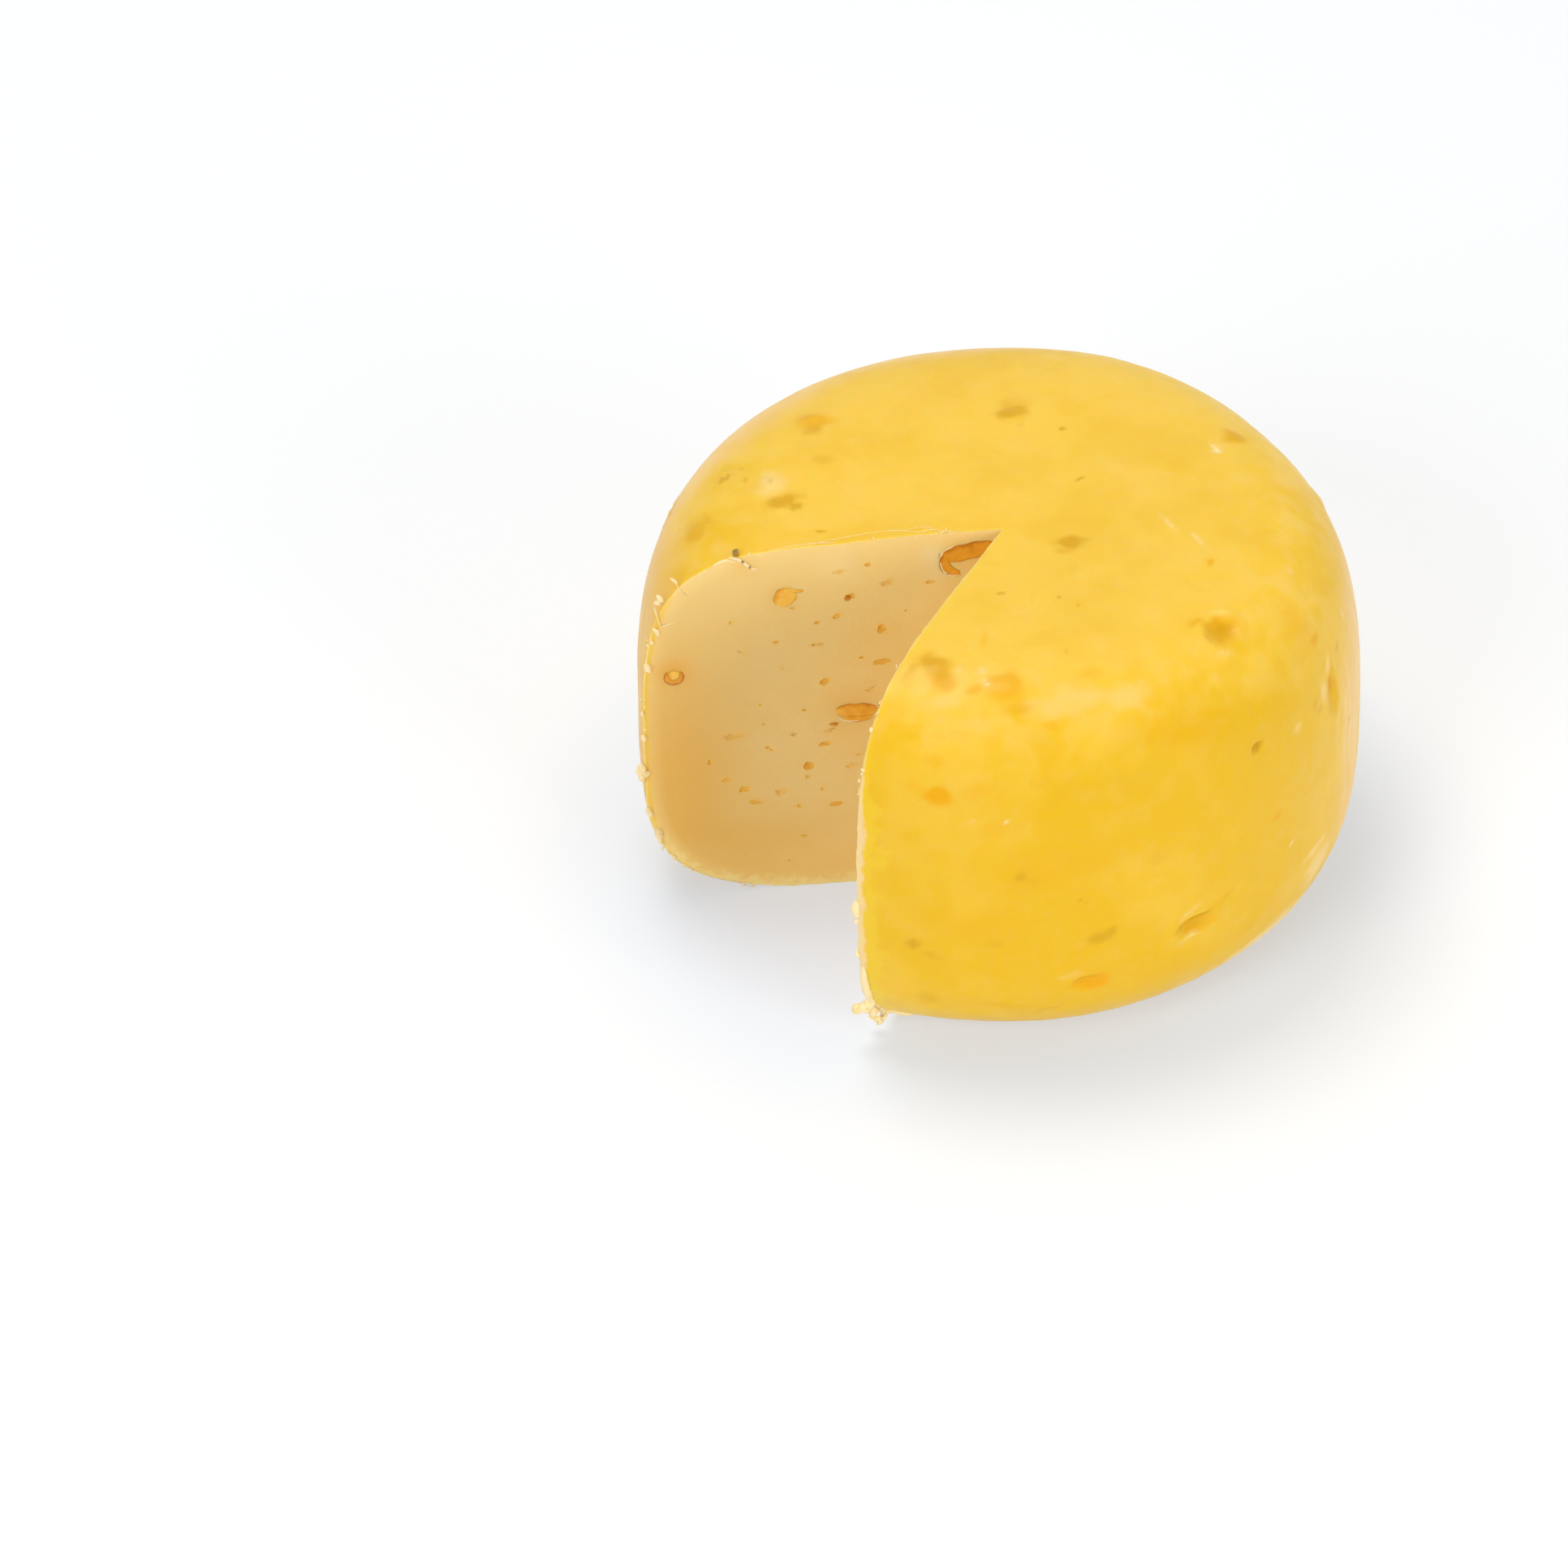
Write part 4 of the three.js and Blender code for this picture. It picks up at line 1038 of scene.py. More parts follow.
class Tree(Nodes):
    """Builds one geometry node tree with named inputs."""

    def __init__(self, name, inputs):
        super().__init__(bpy.data.node_groups.new(name, "GeometryNodeTree"))
        face = self.tree.interface
        face.new_socket("Geometry", in_out="INPUT", socket_type="NodeSocketGeometry")
        self.names = {}
        for label, kind in inputs:
            socket = face.new_socket(label, in_out="INPUT", socket_type=f"NodeSocket{kind}")
            self.names[label] = socket.identifier
        face.new_socket("Geometry", in_out="OUTPUT", socket_type="NodeSocketGeometry")
        self.start = self.node("NodeGroupInput")
        self.end = self.node("NodeGroupOutput")

    def given(self, label):
        """The output of the tree's start for a named input."""
        return self.start.outputs[label]

    def scaled(self, vector, factor):
        """A vector times a number."""
        return self.node("ShaderNodeVectorMath", {0: vector, "Scale": factor}, operation="SCALE").outputs[0]

    def strew(self, points, blob, turn, size):
        """A blob at each point, turned by three angles and stretched by three sizes."""
        turned = self.node("FunctionNodeEulerToRotation", {0: turn})
        return self.node("GeometryNodeInstanceOnPoints", {
            "Points": points, "Instance": blob, "Rotation": turned.outputs[0], "Scale": size}).outputs[0]

    def close(self, instances, lump_scale, roughness):
        """Ends the tree with realized instances, lumpy and in their material."""
        real = self.node("GeometryNodeRealizeInstances", {"Geometry": instances})
        lumps = self.node("ShaderNodeTexNoise", {"Scale": lump_scale, "Detail": 1.0})
        centred = self.node("ShaderNodeVectorMath", {0: lumps.outputs["Color"], 1: (0.5, 0.5, 0.5)},
                            operation="SUBTRACT")
        rough = self.node("GeometryNodeSetPosition", {
            "Geometry": real.outputs[0], "Offset": self.scaled(centred.outputs[0], roughness)})
        dressed = self.node("GeometryNodeSetMaterial", {
            "Geometry": rough.outputs[0], "Material": self.given("Material")})
        self.feed(self.end.inputs[0], dressed.outputs[0])
        return self

    def run(self, source, name, values):
        """Runs the tree on an object and keeps the result as a plain mesh."""
        modifier = source.modifiers.new(self.tree.name, "NODES")
        modifier.node_group = self.tree
        for label, value in values.items():
            modifier[self.names[label]] = value
        mesh = evaluated_mesh(source, modifier)
        mesh.name = name
        bpy.data.objects.remove(source)
        made = bpy.data.objects.new(name, mesh)
        bpy.context.scene.collection.objects.link(made)
        return made


def evaluated_mesh(piece, modifier):
    """What a modifier makes of a piece, which then loses the modifier."""
    bpy.context.view_layer.update()
    evaluated = piece.evaluated_get(bpy.context.evaluated_depsgraph_get())
    mesh = bpy.data.meshes.new_from_object(evaluated)
    piece.modifiers.remove(modifier)
    return mesh


def blob_tree():
    """A pulled, lumpy blob at each point, by the point's size and turn."""
    tree = Tree("blobs", (
        ("Fineness", "Int"), ("Taper", "Float"), ("Roughness", "Float"), ("Lump scale", "Float"),
        ("Material", "Material")))
    blob = tree.node("GeometryNodeMeshIcoSphere", {"Radius": 0.5, "Subdivisions": tree.given("Fineness")})
    place = tree.node("GeometryNodeInputPosition")
    parts = tree.node("ShaderNodeSeparateXYZ", {0: place.outputs[0]})
    far = tree.node("ShaderNodeMath", {0: parts.outputs["X"], 1: 0.5}, operation="ADD")
    pull = tree.node("ShaderNodeMath", {0: far.outputs[0], 1: tree.given("Taper")}, operation="MULTIPLY")
    keep = tree.node("ShaderNodeMath", {0: 1.0, 1: pull.outputs[0]}, operation="SUBTRACT")
    pulled = tree.node("ShaderNodeCombineXYZ", {"X": parts.outputs["X"]})
    for axis in ("Y", "Z"):
        thin = tree.node("ShaderNodeMath", {0: parts.outputs[axis], 1: keep.outputs[0]}, operation="MULTIPLY")
        tree.feed(pulled.inputs[axis], thin.outputs[0])
    drop = tree.node("GeometryNodeSetPosition", {"Geometry": blob.outputs[0], "Position": pulled.outputs[0]})
    size, turn = [
        tree.node("GeometryNodeInputNamedAttribute", {"Name": name}, data_type="FLOAT_VECTOR").outputs[0]
        for name in ("blob_size", "blob_turn")]
    points = tree.node("GeometryNodeMeshToPoints", {"Mesh": tree.given("Geometry")})
    blobs = tree.strew(points.outputs[0], drop.outputs[0], turn, size)
    return tree.close(blobs, tree.given("Lump scale"), tree.given("Roughness"))


def crumb_tree():
    """Crumbs along an edge: random lumps near a line, thick in some stretches and bare in others."""
    tree = Tree("edge_crumbs", (
        ("Spacing", "Float"), ("Smallest", "Float"), ("Largest", "Float"), ("Spread", "Float"),
        ("Bare share", "Float"), ("Seed", "Int"), ("Material", "Material")))
    line = tree.node("GeometryNodeMeshToCurve", {"Mesh": tree.given("Geometry")})
    points = tree.node("GeometryNodeCurveToPoints", {
        "Curve": line.outputs[0], "Length": tree.given("Spacing")}, mode="LENGTH")
    drift, turn = [
        tree.node("FunctionNodeRandomValue", {
            "Min": (low,) * 3, "Max": (high,) * 3, "Seed": tree.given("Seed")},
                  data_type="FLOAT_VECTOR").outputs[0]
        for low, high in ((-1.0, 1.0), (0.0, math.tau))]
    strewn = tree.node("GeometryNodeSetPosition", {
        "Geometry": points.outputs[0], "Offset": tree.scaled(drift, tree.given("Spread"))})
    stretches = tree.node("ShaderNodeTexNoise", {"Scale": CRUMB_STRETCHES, "Detail": 1.0})
    bare = tree.node("FunctionNodeCompare", {0: stretches.outputs["Fac"], 1: tree.given("Bare share")},
                     data_type="FLOAT", operation="LESS_THAN")
    kept = tree.node("GeometryNodeDeleteGeometry", {
        "Geometry": strewn.outputs[0], "Selection": bare.outputs[0]}, domain="POINT")
    blob = tree.node("GeometryNodeMeshIcoSphere", {"Radius": 0.5, "Subdivisions": CRUMB_FINENESS})
    size = tree.node("FunctionNodeRandomValue", {
        2: tree.given("Smallest"), 3: tree.given("Largest"), "Seed": tree.given("Seed")}, data_type="FLOAT")
    form = tree.scaled(CRUMB_FORM, size.outputs[1])
    crumbs = tree.strew(kept.outputs[0], blob.outputs[0], turn, form)
    return tree.close(crumbs, CRUMB_LUMPS, CRUMB_ROUGHNESS)


def rind_grid(cheese, form):
    """Rows from the top to the base, in half planes that fan round the corner of the cuts."""
    close = np.array(EDGE_STEPS) * MM / form.radius
    start_side, end_side = form.left_cut, form.right_cut - math.tau
    middle = np.linspace(start_side - close[-1], end_side + close[-1], ROUND_STEPS + 1)[1:-1]
    azimuths = np.concatenate([[start_side], start_side - close, middle, end_side + close[::-1], [end_side]])
    tilts = np.linspace(math.pi / 2, -math.pi / 2, RAY_STEPS + 1)
    azimuth, tilt = np.meshgrid(azimuths, tilts, indexing="ij")
    flat = np.cos(tilt)
    directions = np.stack([flat * np.sin(azimuth), -flat * np.cos(azimuth), np.sin(tilt)], -1)
    start = np.array([form.corner[0], form.corner[1], 0.0])
    fine = cheese.ray_ends(start, directions)
    steps = np.linalg.norm(np.diff(fine, axis=1), axis=-1)
    run = np.concatenate([np.zeros((len(azimuths), 1)), np.cumsum(steps, 1)], 1)
    grid = np.zeros((len(azimuths), PROFILE_STEPS + 1, 3))
    for row, lengths in enumerate(run):
        wanted = np.linspace(0, lengths[-1], PROFILE_STEPS + 1)
        for axis in range(3):
            grid[row, :, axis] = np.interp(wanted, lengths, fine[row, :, axis])
    return grid + cheese.place


def spot_reach(points, cheese, azimuth, tilt, across, up, turn=0.0):
    """How far out of a spot on the rind each point is, with 1 on its border, and far for the other side."""
    centre, axes = cheese.rind_axes(math.radians(azimuth), math.radians(tilt))
    local = (points - centre) @ axes
    lean = math.radians(turn)
    along = local[:, 0] * math.cos(lean) + local[:, 1] * math.sin(lean)
    side = local[:, 1] * math.cos(lean) - local[:, 0] * math.sin(lean)
    out = np.hypot(along / (across * MM / 2), side / (up * MM / 2))
    return np.where(np.abs(local[:, 2]) < SPOT_DEPTH, out, FAR_OUT)


def rind_relief(points, cheese, marks):
    """Height of dents, swellings and the hand's unevenness over the plain rind."""
    height = sum(noise_values(points, size, offset) * rise for size, offset, rise in RIND_WAVES)
    for azimuth, tilt, across, up, rise, *_ in marks:
        out = spot_reach(points, cheese, azimuth, tilt, across, up)
        height += np.clip(1 - out ** 2, 0, 1) ** MARK_ROUNDNESS * rise * MM
        if rise < 0:
            height += DENT_LIP * abs(rise) * MM * np.exp(-((out - DENT_LIP_PLACE) / DENT_LIP_WIDTH) ** 2)
    return height


def rim_wear(points, form, cuts):
    """How much the knife broke away from the rind close to each cut."""
    wear = np.zeros(len(points))
    least, spread = RIM_CHIP_SHARES
    for cut, width in zip(cuts, form.strip_widths):
        gap = np.abs(cut.over(points))
        beside = ((points - cut.corner) @ cut.direction > 0) & (gap < 2 * width)
        chips = noise_values(points[beside], RIM_CHIP_SIZE, RIM_CHIP_OFFSET * width / MM)
        chips = least + spread * np.abs(chips)
        low = 1 - RIM_TOP_SHARE * smoothstep(*RIM_TOP, points[beside, 2])
        wear[beside] += form.wear * chips * low * np.clip(1 - gap[beside] / (width * low), 0, 1)
    return wear * smoothstep(*RIM_FOOT, points[:, 2])


def rind_tints(points, cheese, marks):
    """Shares of the warm, olive and pale tints."""
    tints = np.zeros((len(points), 3))
    size, offset, strength = STAIN_WAVER
    waver = noise_values(points, size, offset) * strength
    spots = [(*mark[:4], 0, *mark[5:]) for mark in marks] + list(STAINS)
    for azimuth, tilt, across, up, turn, *shares in spots:
        out = spot_reach(points, cheese, azimuth, tilt, across, up, turn)
        soft = 1 - smoothstep(*STAIN_EDGE, out + waver)
        tints = np.maximum(tints, np.outer(soft, shares))
    return tints


def wheel_mesh(form, cheese, cuts, marks):
    """The cut wheel without its holes: one closed mesh, rind first and cut faces second."""
    grid = rind_grid(cheese, form)
    rounds, downs = grid.shape[0] - 1, grid.shape[1] - 1
    rind_count = (rounds + 1) * (downs + 1)
    numbers = np.arange(rind_count).reshape(rounds + 1, downs + 1)
    numbers[:, 0] = numbers[0, 0]
    numbers[:, downs] = numbers[0, downs]
    points = grid.reshape(-1, 3)
    normals = np.cross(np.gradient(grid, axis=1), np.gradient(grid, axis=0)).reshape(-1, 3)
    normals /= np.maximum(np.linalg.norm(normals, axis=1, keepdims=True), SHORTEST)
    inward = ((points - cheese.place) * normals).sum(1) < 0
    normals[inward] *= -1
    relief = rind_relief(points, cheese, marks)
    relief *= smoothstep(*BASE_EDGE, points[:, 2])
    relief -= rim_wear(points, form, cuts)
    points = points + normals * relief[:, None]
    vertices = [points]
    top, base = grid[0, 0], grid[0, downs]
    heights = np.linspace(top[2], base[2], downs + 1)
    inner = np.stack([np.full(downs + 1, top[0]), np.full(downs + 1, top[1]), heights], 1)
    inner_numbers = rind_count + np.arange(downs + 1)
    inner_numbers[0] = numbers[0, 0]
    inner_numbers[downs] = numbers[0, downs]
    vertices.append(inner)
    faces = grid_faces(numbers)
    rind_faces = len(faces)
    count = rind_count + downs + 1
    shares = 1 - (1 - np.linspace(0, 1, FACE_STEPS + 1)) ** FACE_EASE
    wave_size, wave_offset, wave_height = FACE_WAVE
    for cut, row in zip(cuts, (0, rounds)):
        border = points[numbers[row]]
        waver = sum(noise_values(border, size, offset) * form.ragged for size, offset in RIM_WAVES)
        waver[[0, -1]] = 0
        flat_border = border - np.outer(cut.over(border), cut.outward)
        points[numbers[row]] = flat_border + np.outer(waver, cut.outward)
        border = points[numbers[row]]
        face = inner[:, None] + (border - inner)[:, None] * shares[None, :, None]
        middle = face[:, 1:-1].reshape(-1, 3)
        window = np.sin(np.pi * shares[1:-1])[None, :].repeat(downs + 1, 0).ravel()
        wave = noise_values(middle, wave_size, wave_offset) * wave_height * window
        middle = middle - np.outer(cut.over(middle), cut.outward) + np.outer(wave, cut.outward)
        face_numbers = np.zeros((downs + 1, FACE_STEPS + 1), int)
        face_numbers[:, 0] = inner_numbers
        face_numbers[:, -1] = numbers[row]
        face_numbers[:, 1:-1] = count + np.arange(middle.shape[0]).reshape(downs + 1, -1)
        face_numbers[0] = numbers[row, 0]
        face_numbers[-1] = numbers[row, downs]
        count += middle.shape[0]
        vertices.append(middle)
        faces += grid_faces(face_numbers, flip=row == 0)
    vertices[0] = points
    return np.concatenate(vertices), faces, rind_faces


def drop_loose(vertices, faces):
    """Leaves out the vertices that no face uses."""
    used = np.unique(np.concatenate([np.array(face) for face in faces]))
    renumbered = np.full(len(vertices), -1)
    renumbered[used] = np.arange(len(used))
    return vertices[used], [[int(renumbered[corner]) for corner in face] for face in faces]


def all_holes():
    """The marks behind, and every hole in the faces: the cut's number, then place, size and turn."""
    draw = Draw()
    marks = back_marks(draw)
    taken = [seed[:2] for seed in RIGHT_SEEDS]
    right = scattered_holes(
        draw, taken, RIGHT_HOLE_COUNT, HOLE_CLEARANCE, RIGHT_HOLE_LENGTH, RIGHT_HOLE_WIDTH)
    right += scattered_holes(
        draw, taken, RIGHT_PINHOLE_COUNT, PINHOLE_CLEARANCE, PINHOLE_LENGTH, PINHOLE_WIDTH)
    holes = [(0, *hole) for hole in LEFT_HOLES + LEFT_PINHOLES]
    holes += [(1, *hole) for hole in right]
    return marks, holes


def seed_parts(cuts):
    """Every part of every cut seed: its matrix in mm, its place in the order of the seed, and its numbers."""
    parts = []
    for cut, seeds in zip(cuts, (LEFT_SEEDS, RIGHT_SEEDS)):
        for along, up, turn, size, kind in seeds:
            matrix = cut.matrix(along, up, turn) @ Matrix.Scale(size * MM, 4)
            for layer, part in enumerate(SEED_KINDS[kind]):
                parts.append((matrix, layer, part))
    return parts


def part_sides(part, grow=0.0):
    """Upper and lower side of a section or a strip, as two rows of points in mm."""
    share = np.linspace(0, 1, SIDE_STEPS)
    if part[0] == "section":
        _, (x, y), (length, width), lean, point, _ = part
        run = -np.cos(math.pi * share) * (length + grow)
        scale, offset, tear = SECTION_TEAR
        torn = np.array([noise.noise(Vector((x + spot, y, offset))) for spot in scale * share])
        rise = np.sin(math.pi * share) ** point * (width + grow + tear * torn) + SECTION_THINNEST
        angle = math.radians(lean)
        sides = [np.stack([run, rise * side], 1) for side in (1, -1)]
        turn = np.array([[math.cos(angle), math.sin(angle)], [-math.sin(angle), math.cos(angle)]])
        return [side @ turn + np.array([x, y]) for side in sides]
    _, (x, y), (radius, first, last, width), _ = part
    sweep = np.radians(first + (last - first) * share)
    end, middle = STRIP_ENDS
    least, more, bend = STRIP_THICKNESS
    thick = width / 2 * (least + more * np.sin(math.pi * (end + middle * share)) ** bend) + grow
    ways = np.stack([np.cos(sweep), np.sin(sweep)], 1)
    return [np.array([x, y]) + ways * (radius + side * thick)[:, None] for side in (1, -1)]


def add_slab(build, matrix, sides, tops, depth, tone=0.0):
    """Adds a closed slab between two sides, with heights in mm across it and a flat back."""
    upper, lower = sides
    steps, columns = len(upper), len(tops)
    start = len(build["vertices"])
    for layer in range(2):
        for step in range(steps):
            inward = min(1.0, SLAB_SLOPE * min(step, steps - 1 - step) / (steps - 1) + SLAB_START)
            for column, top in enumerate(tops):
                share = column / (columns - 1)
                spot = upper[step] * (1 - share) + lower[step] * share
                height = -depth if layer else tops[0] + (top - tops[0]) * inward
                build["vertices"].append(matrix @ Vector((*spot, height)))
                edge = max(abs(2 * share - 1), 1 - inward)
                # Painted shadow along the first side and a painted highlight towards the other, over the
                # part's own darkness and its darker skin at the edges
                lip_shadow = max(0.0, 1 - share / LIP_SHADOW_WIDTH)
                skin = tone + LIP_SHADOW_TONE * lip_shadow + EDGE_TONE * max(0.0, edge - EDGE_START) - LOWER_SIDE_HIGHLIGHT * share
                build["tints"].append((skin, 0.0, 0.0))
    grid = start + np.arange(steps * columns).reshape(steps, columns)
    back = grid + steps * columns
    build["faces"] += grid_faces(grid) + grid_faces(back, flip=True)
    rim = [*grid[:, 0], *grid[-1, 1:], *grid[-2::-1, -1], *grid[0, -2:0:-1]]
    for here, there in zip(rim, rim[1:] + rim[:1]):
        under = steps * columns
        build["faces"].append([int(here), int(there), int(there + under), int(here + under)])


def new_build():
    """An empty list of vertices, faces and tints."""
    return {"vertices": [], "faces": [], "tints": []}


def seed_seats(cuts, material, wanted_layer):
    """Cutters that make shallow room in the curd for one layer of every seed's parts."""
    build = new_build()
    for matrix, layer, part in seed_parts(cuts):
        if layer == wanted_layer:
            add_slab(build, matrix, part_sides(part, SEAT_GROWTH), SEAT_TOPS, SEAT_DEPTH)
    seats = mesh_object("seed_seats", build["vertices"], build["faces"], [material])
    outward_normals(seats.data)
    return seats


def cut_holes(wheel, cuts, holes, material):
    """Cuts the holes into the faces with blobs from the hole tree."""
    blobs = []
    spread = 1 / math.sqrt(1 - HOLE_LIFT ** 2)
    for number, along, up, full_length, full_width, turn in holes:
        length, width = full_length * HOLE_LENGTH_SHARE, full_width * HOLE_WIDTH_SHARE
        deep = HOLE_DEPTH_SHARE * width / (1 - HOLE_LIFT)
        matrix = cuts[number].matrix(along, up, turn, -HOLE_LIFT * deep)
        blobs.append((matrix, (spread * length * MM, spread * width * MM, 2 * deep * MM)))
    kinds = len(HOLE_TAPERS)
    for kind, taper in enumerate(HOLE_TAPERS):
        cutter = make_blobs("hole_blobs", blobs[kind::kinds], material, taper, HOLE_ROUGHNESS, HOLE_LUMPS)
        carve(wheel, cutter)


def make_blobs(name, blobs, material, taper, roughness, lump_scale):
    """Blobs from pairs of a matrix and a size, as one mesh."""
    source = mesh_object(name, [matrix.translation for matrix, _ in blobs], [])
    store_tints(source.data, "blob_size", [size for _, size in blobs])
    store_tints(source.data, "blob_turn", [matrix.to_euler()[:] for matrix, _ in blobs])
    return blob_tree().run(source, name, {
        "Fineness": BLOB_FINENESS, "Taper": taper, "Roughness": roughness, "Lump scale": lump_scale,
        "Material": material})


def carve(wheel, cutter):
    """Takes the cutter out of the wheel."""
    modifier = wheel.modifiers.new("Carve", "BOOLEAN")
    modifier.operation = "DIFFERENCE"
    modifier.solver = "MANIFOLD"
    modifier.object = cutter
    wheel.data = evaluated_mesh(wheel, modifier)
    bpy.data.objects.remove(cutter)


def rim_line(cheese, form, cut_azimuth):
    """The outer edge of a cut, from the top of its corner to the base."""
    tilts = np.linspace(math.pi / 2, -math.pi / 2, RAY_STEPS + 1)
    flat = np.cos(tilts)
    directions = np.stack([flat * math.sin(cut_azimuth), -flat * math.cos(cut_azimuth), np.sin(tilts)], -1)
    start = np.array([form.corner[0], form.corner[1], 0.0])
    return cheese.ray_ends(start, directions) + cheese.place


def distance_to_line(points, line):
    """Distance of each point from a line of many short steps."""
    best = np.full(len(points), 1.0)
    for start, end in zip(line[:-1], line[1:]):
        step = end - start
        length = step @ step
        if length > 0:
            share = np.clip((points - start) @ step / length, 0, 1)
            gap = points - start - share[:, None] * step
            best = np.minimum(best, np.sqrt((gap ** 2).sum(1)))
    return best


def curd_tints(mesh, cheese, form, cuts):
    """Depth under the rind, distance from the corner, and share of stain for every vertex."""
    points = mesh_points(mesh)
    tints = np.zeros((len(points), 3))
    tints[:, 1] = np.linalg.norm((points - cuts[0].corner)[:, :2], axis=1)
    for cut, azimuth in zip(cuts, (form.left_cut, form.right_cut)):
        over = cut.over(points)
        along = (points - cut.corner) @ cut.direction
        near = (np.abs(over) < SKIN_REACH) & (along > SKIN_BEHIND)
        tints[near, 0] = distance_to_line(points[near], rim_line(cheese, form, azimuth)[::LINE_STRIDE])
    for number, along, up, size, share in HALOS:
        gap = np.linalg.norm(points - cuts[number].place(along * MM, up * MM), axis=1) / (size * MM)
        tints[:, 2] += share * np.exp(-gap ** 2)
    return tints


def hole_shade_tints(mesh, cuts, holes):
    """Share of the painted recess shade in and round each hole, for every vertex."""
    points = mesh_points(mesh)
    tints = np.zeros((len(points), 3))
    for number, along, up, length, width, turn in holes:
        local = points - cuts[number].place(along * MM, up * MM)
        across, rise = local @ cuts[number].across, local @ cuts[number].up
        lean = math.radians(turn)
        run = (across * math.cos(lean) + rise * math.sin(lean)) / (length * MM / 2)
        side = (rise * math.cos(lean) - across * math.sin(lean)) / (width * MM / 2)
        near = np.abs(local @ cuts[number].outward) < HOLE_REACH
        share = near * (1 - smoothstep(*HOLE_SHADE_EDGE, np.hypot(run, side)))
        tints[:, 0] = np.maximum(tints[:, 0], share)
    return tints


class GOUDA_OT_wheel(bpy.types.Operator):
    """Makes the cut wheel with its rind, cut faces and holes"""

    bl_idname = "gouda.wheel"
    bl_label = "Cut wheel"

    def execute(self, context):
        """Builds the wheel in place of its solid."""
        form, finish = context.scene.gouda_form, context.scene.gouda_finish
        cheese, cuts = RoundCheese(form), both_cuts(form)
        marks, holes = all_holes()
        marks = list(MARKS) + marks
        materials = [coating_material(finish, form, cuts), curd_material(finish, form)]
        vertices, faces, rind_faces = wheel_mesh(form, cheese, cuts, marks)
        vertices, faces = drop_loose(vertices, faces)
        wheel = mesh_object("gouda_wheel", vertices, faces, materials)
        kinds = np.ones(len(faces), np.int32)
        kinds[:rind_faces] = 0
        wheel.data.polygons.foreach_set("material_index", kinds)
        cut_holes(wheel, cuts, holes, hole_material(finish))
        seat = seat_material(finish)
        for layer in range(SEAT_LAYERS):
            carve(wheel, seed_seats(cuts, seat, layer))
        mesh = wheel.data
        store_tints(mesh, "rind_tints", rind_tints(mesh_points(mesh), cheese, marks))
        store_tints(mesh, "curd_tints", curd_tints(mesh, cheese, form, cuts))
        store_tints(mesh, "hole_shade_tints", hole_shade_tints(mesh, cuts, holes))
        sharpen_cut_edges(mesh)
        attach(wheel, BODY)
        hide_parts(WHEEL_NODE)
        return {"FINISHED"}


def sharpen_cut_edges(mesh):
    """Marks the edges between rind and curd sharp, so that each keeps its own shading."""
    kinds = np.zeros(len(mesh.polygons), np.int32)
    mesh.polygons.foreach_get("material_index", kinds)
    edges = {}
    for polygon in mesh.polygons:
        for key in polygon.edge_keys:
            edges.setdefault(key, set()).add(kinds[polygon.index])
    sharp = np.zeros(len(mesh.edges), bool)
    for edge in mesh.edges:
        sharp[edge.index] = len(edges.get(tuple(sorted(edge.vertices)), ())) > 1
    mesh.shade_smooth()
    attribute = mesh.attributes.get("sharp_edge") or mesh.attributes.new("sharp_edge", "BOOLEAN", "EDGE")
    attribute.data.foreach_set("value", sharp)


def outward_normals(mesh):
    """Turns every closed part of a mesh outward."""
    work = bmesh.new()
    work.from_mesh(mesh)
    bmesh.ops.recalc_face_normals(work, faces=work.faces)
    work.to_mesh(mesh)
    work.free()


class GOUDA_OT_seeds(bpy.types.Operator):
    """Makes the cut seeds in both faces"""

    bl_idname = "gouda.seeds"
    bl_label = "Seeds"

    def execute(self, context):
        """Builds the seeds of both cut faces as one piece."""
        form, finish = context.scene.gouda_form, context.scene.gouda_finish
        cuts = both_cuts(form)
        build = new_build()
        for matrix, layer, part in seed_parts(cuts):
            crown = SEED_CROWN * np.sin(np.pi * np.linspace(0, 1, SLAB_COLUMNS))
            tops = (LAYER_LIFT * layer + SEED_LIFT + crown).tolist()
            add_slab(build, matrix, part_sides(part), tops, form.seed_depth / MM, part[-1])
        seeds = mesh_object("gouda_seeds", build["vertices"], build["faces"], [seed_material(finish)])
        outward_normals(seeds.data)
        store_tints(seeds.data, "seed_skin_and_shade", build["tints"])
        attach(seeds, BODY)
        return {"FINISHED"}


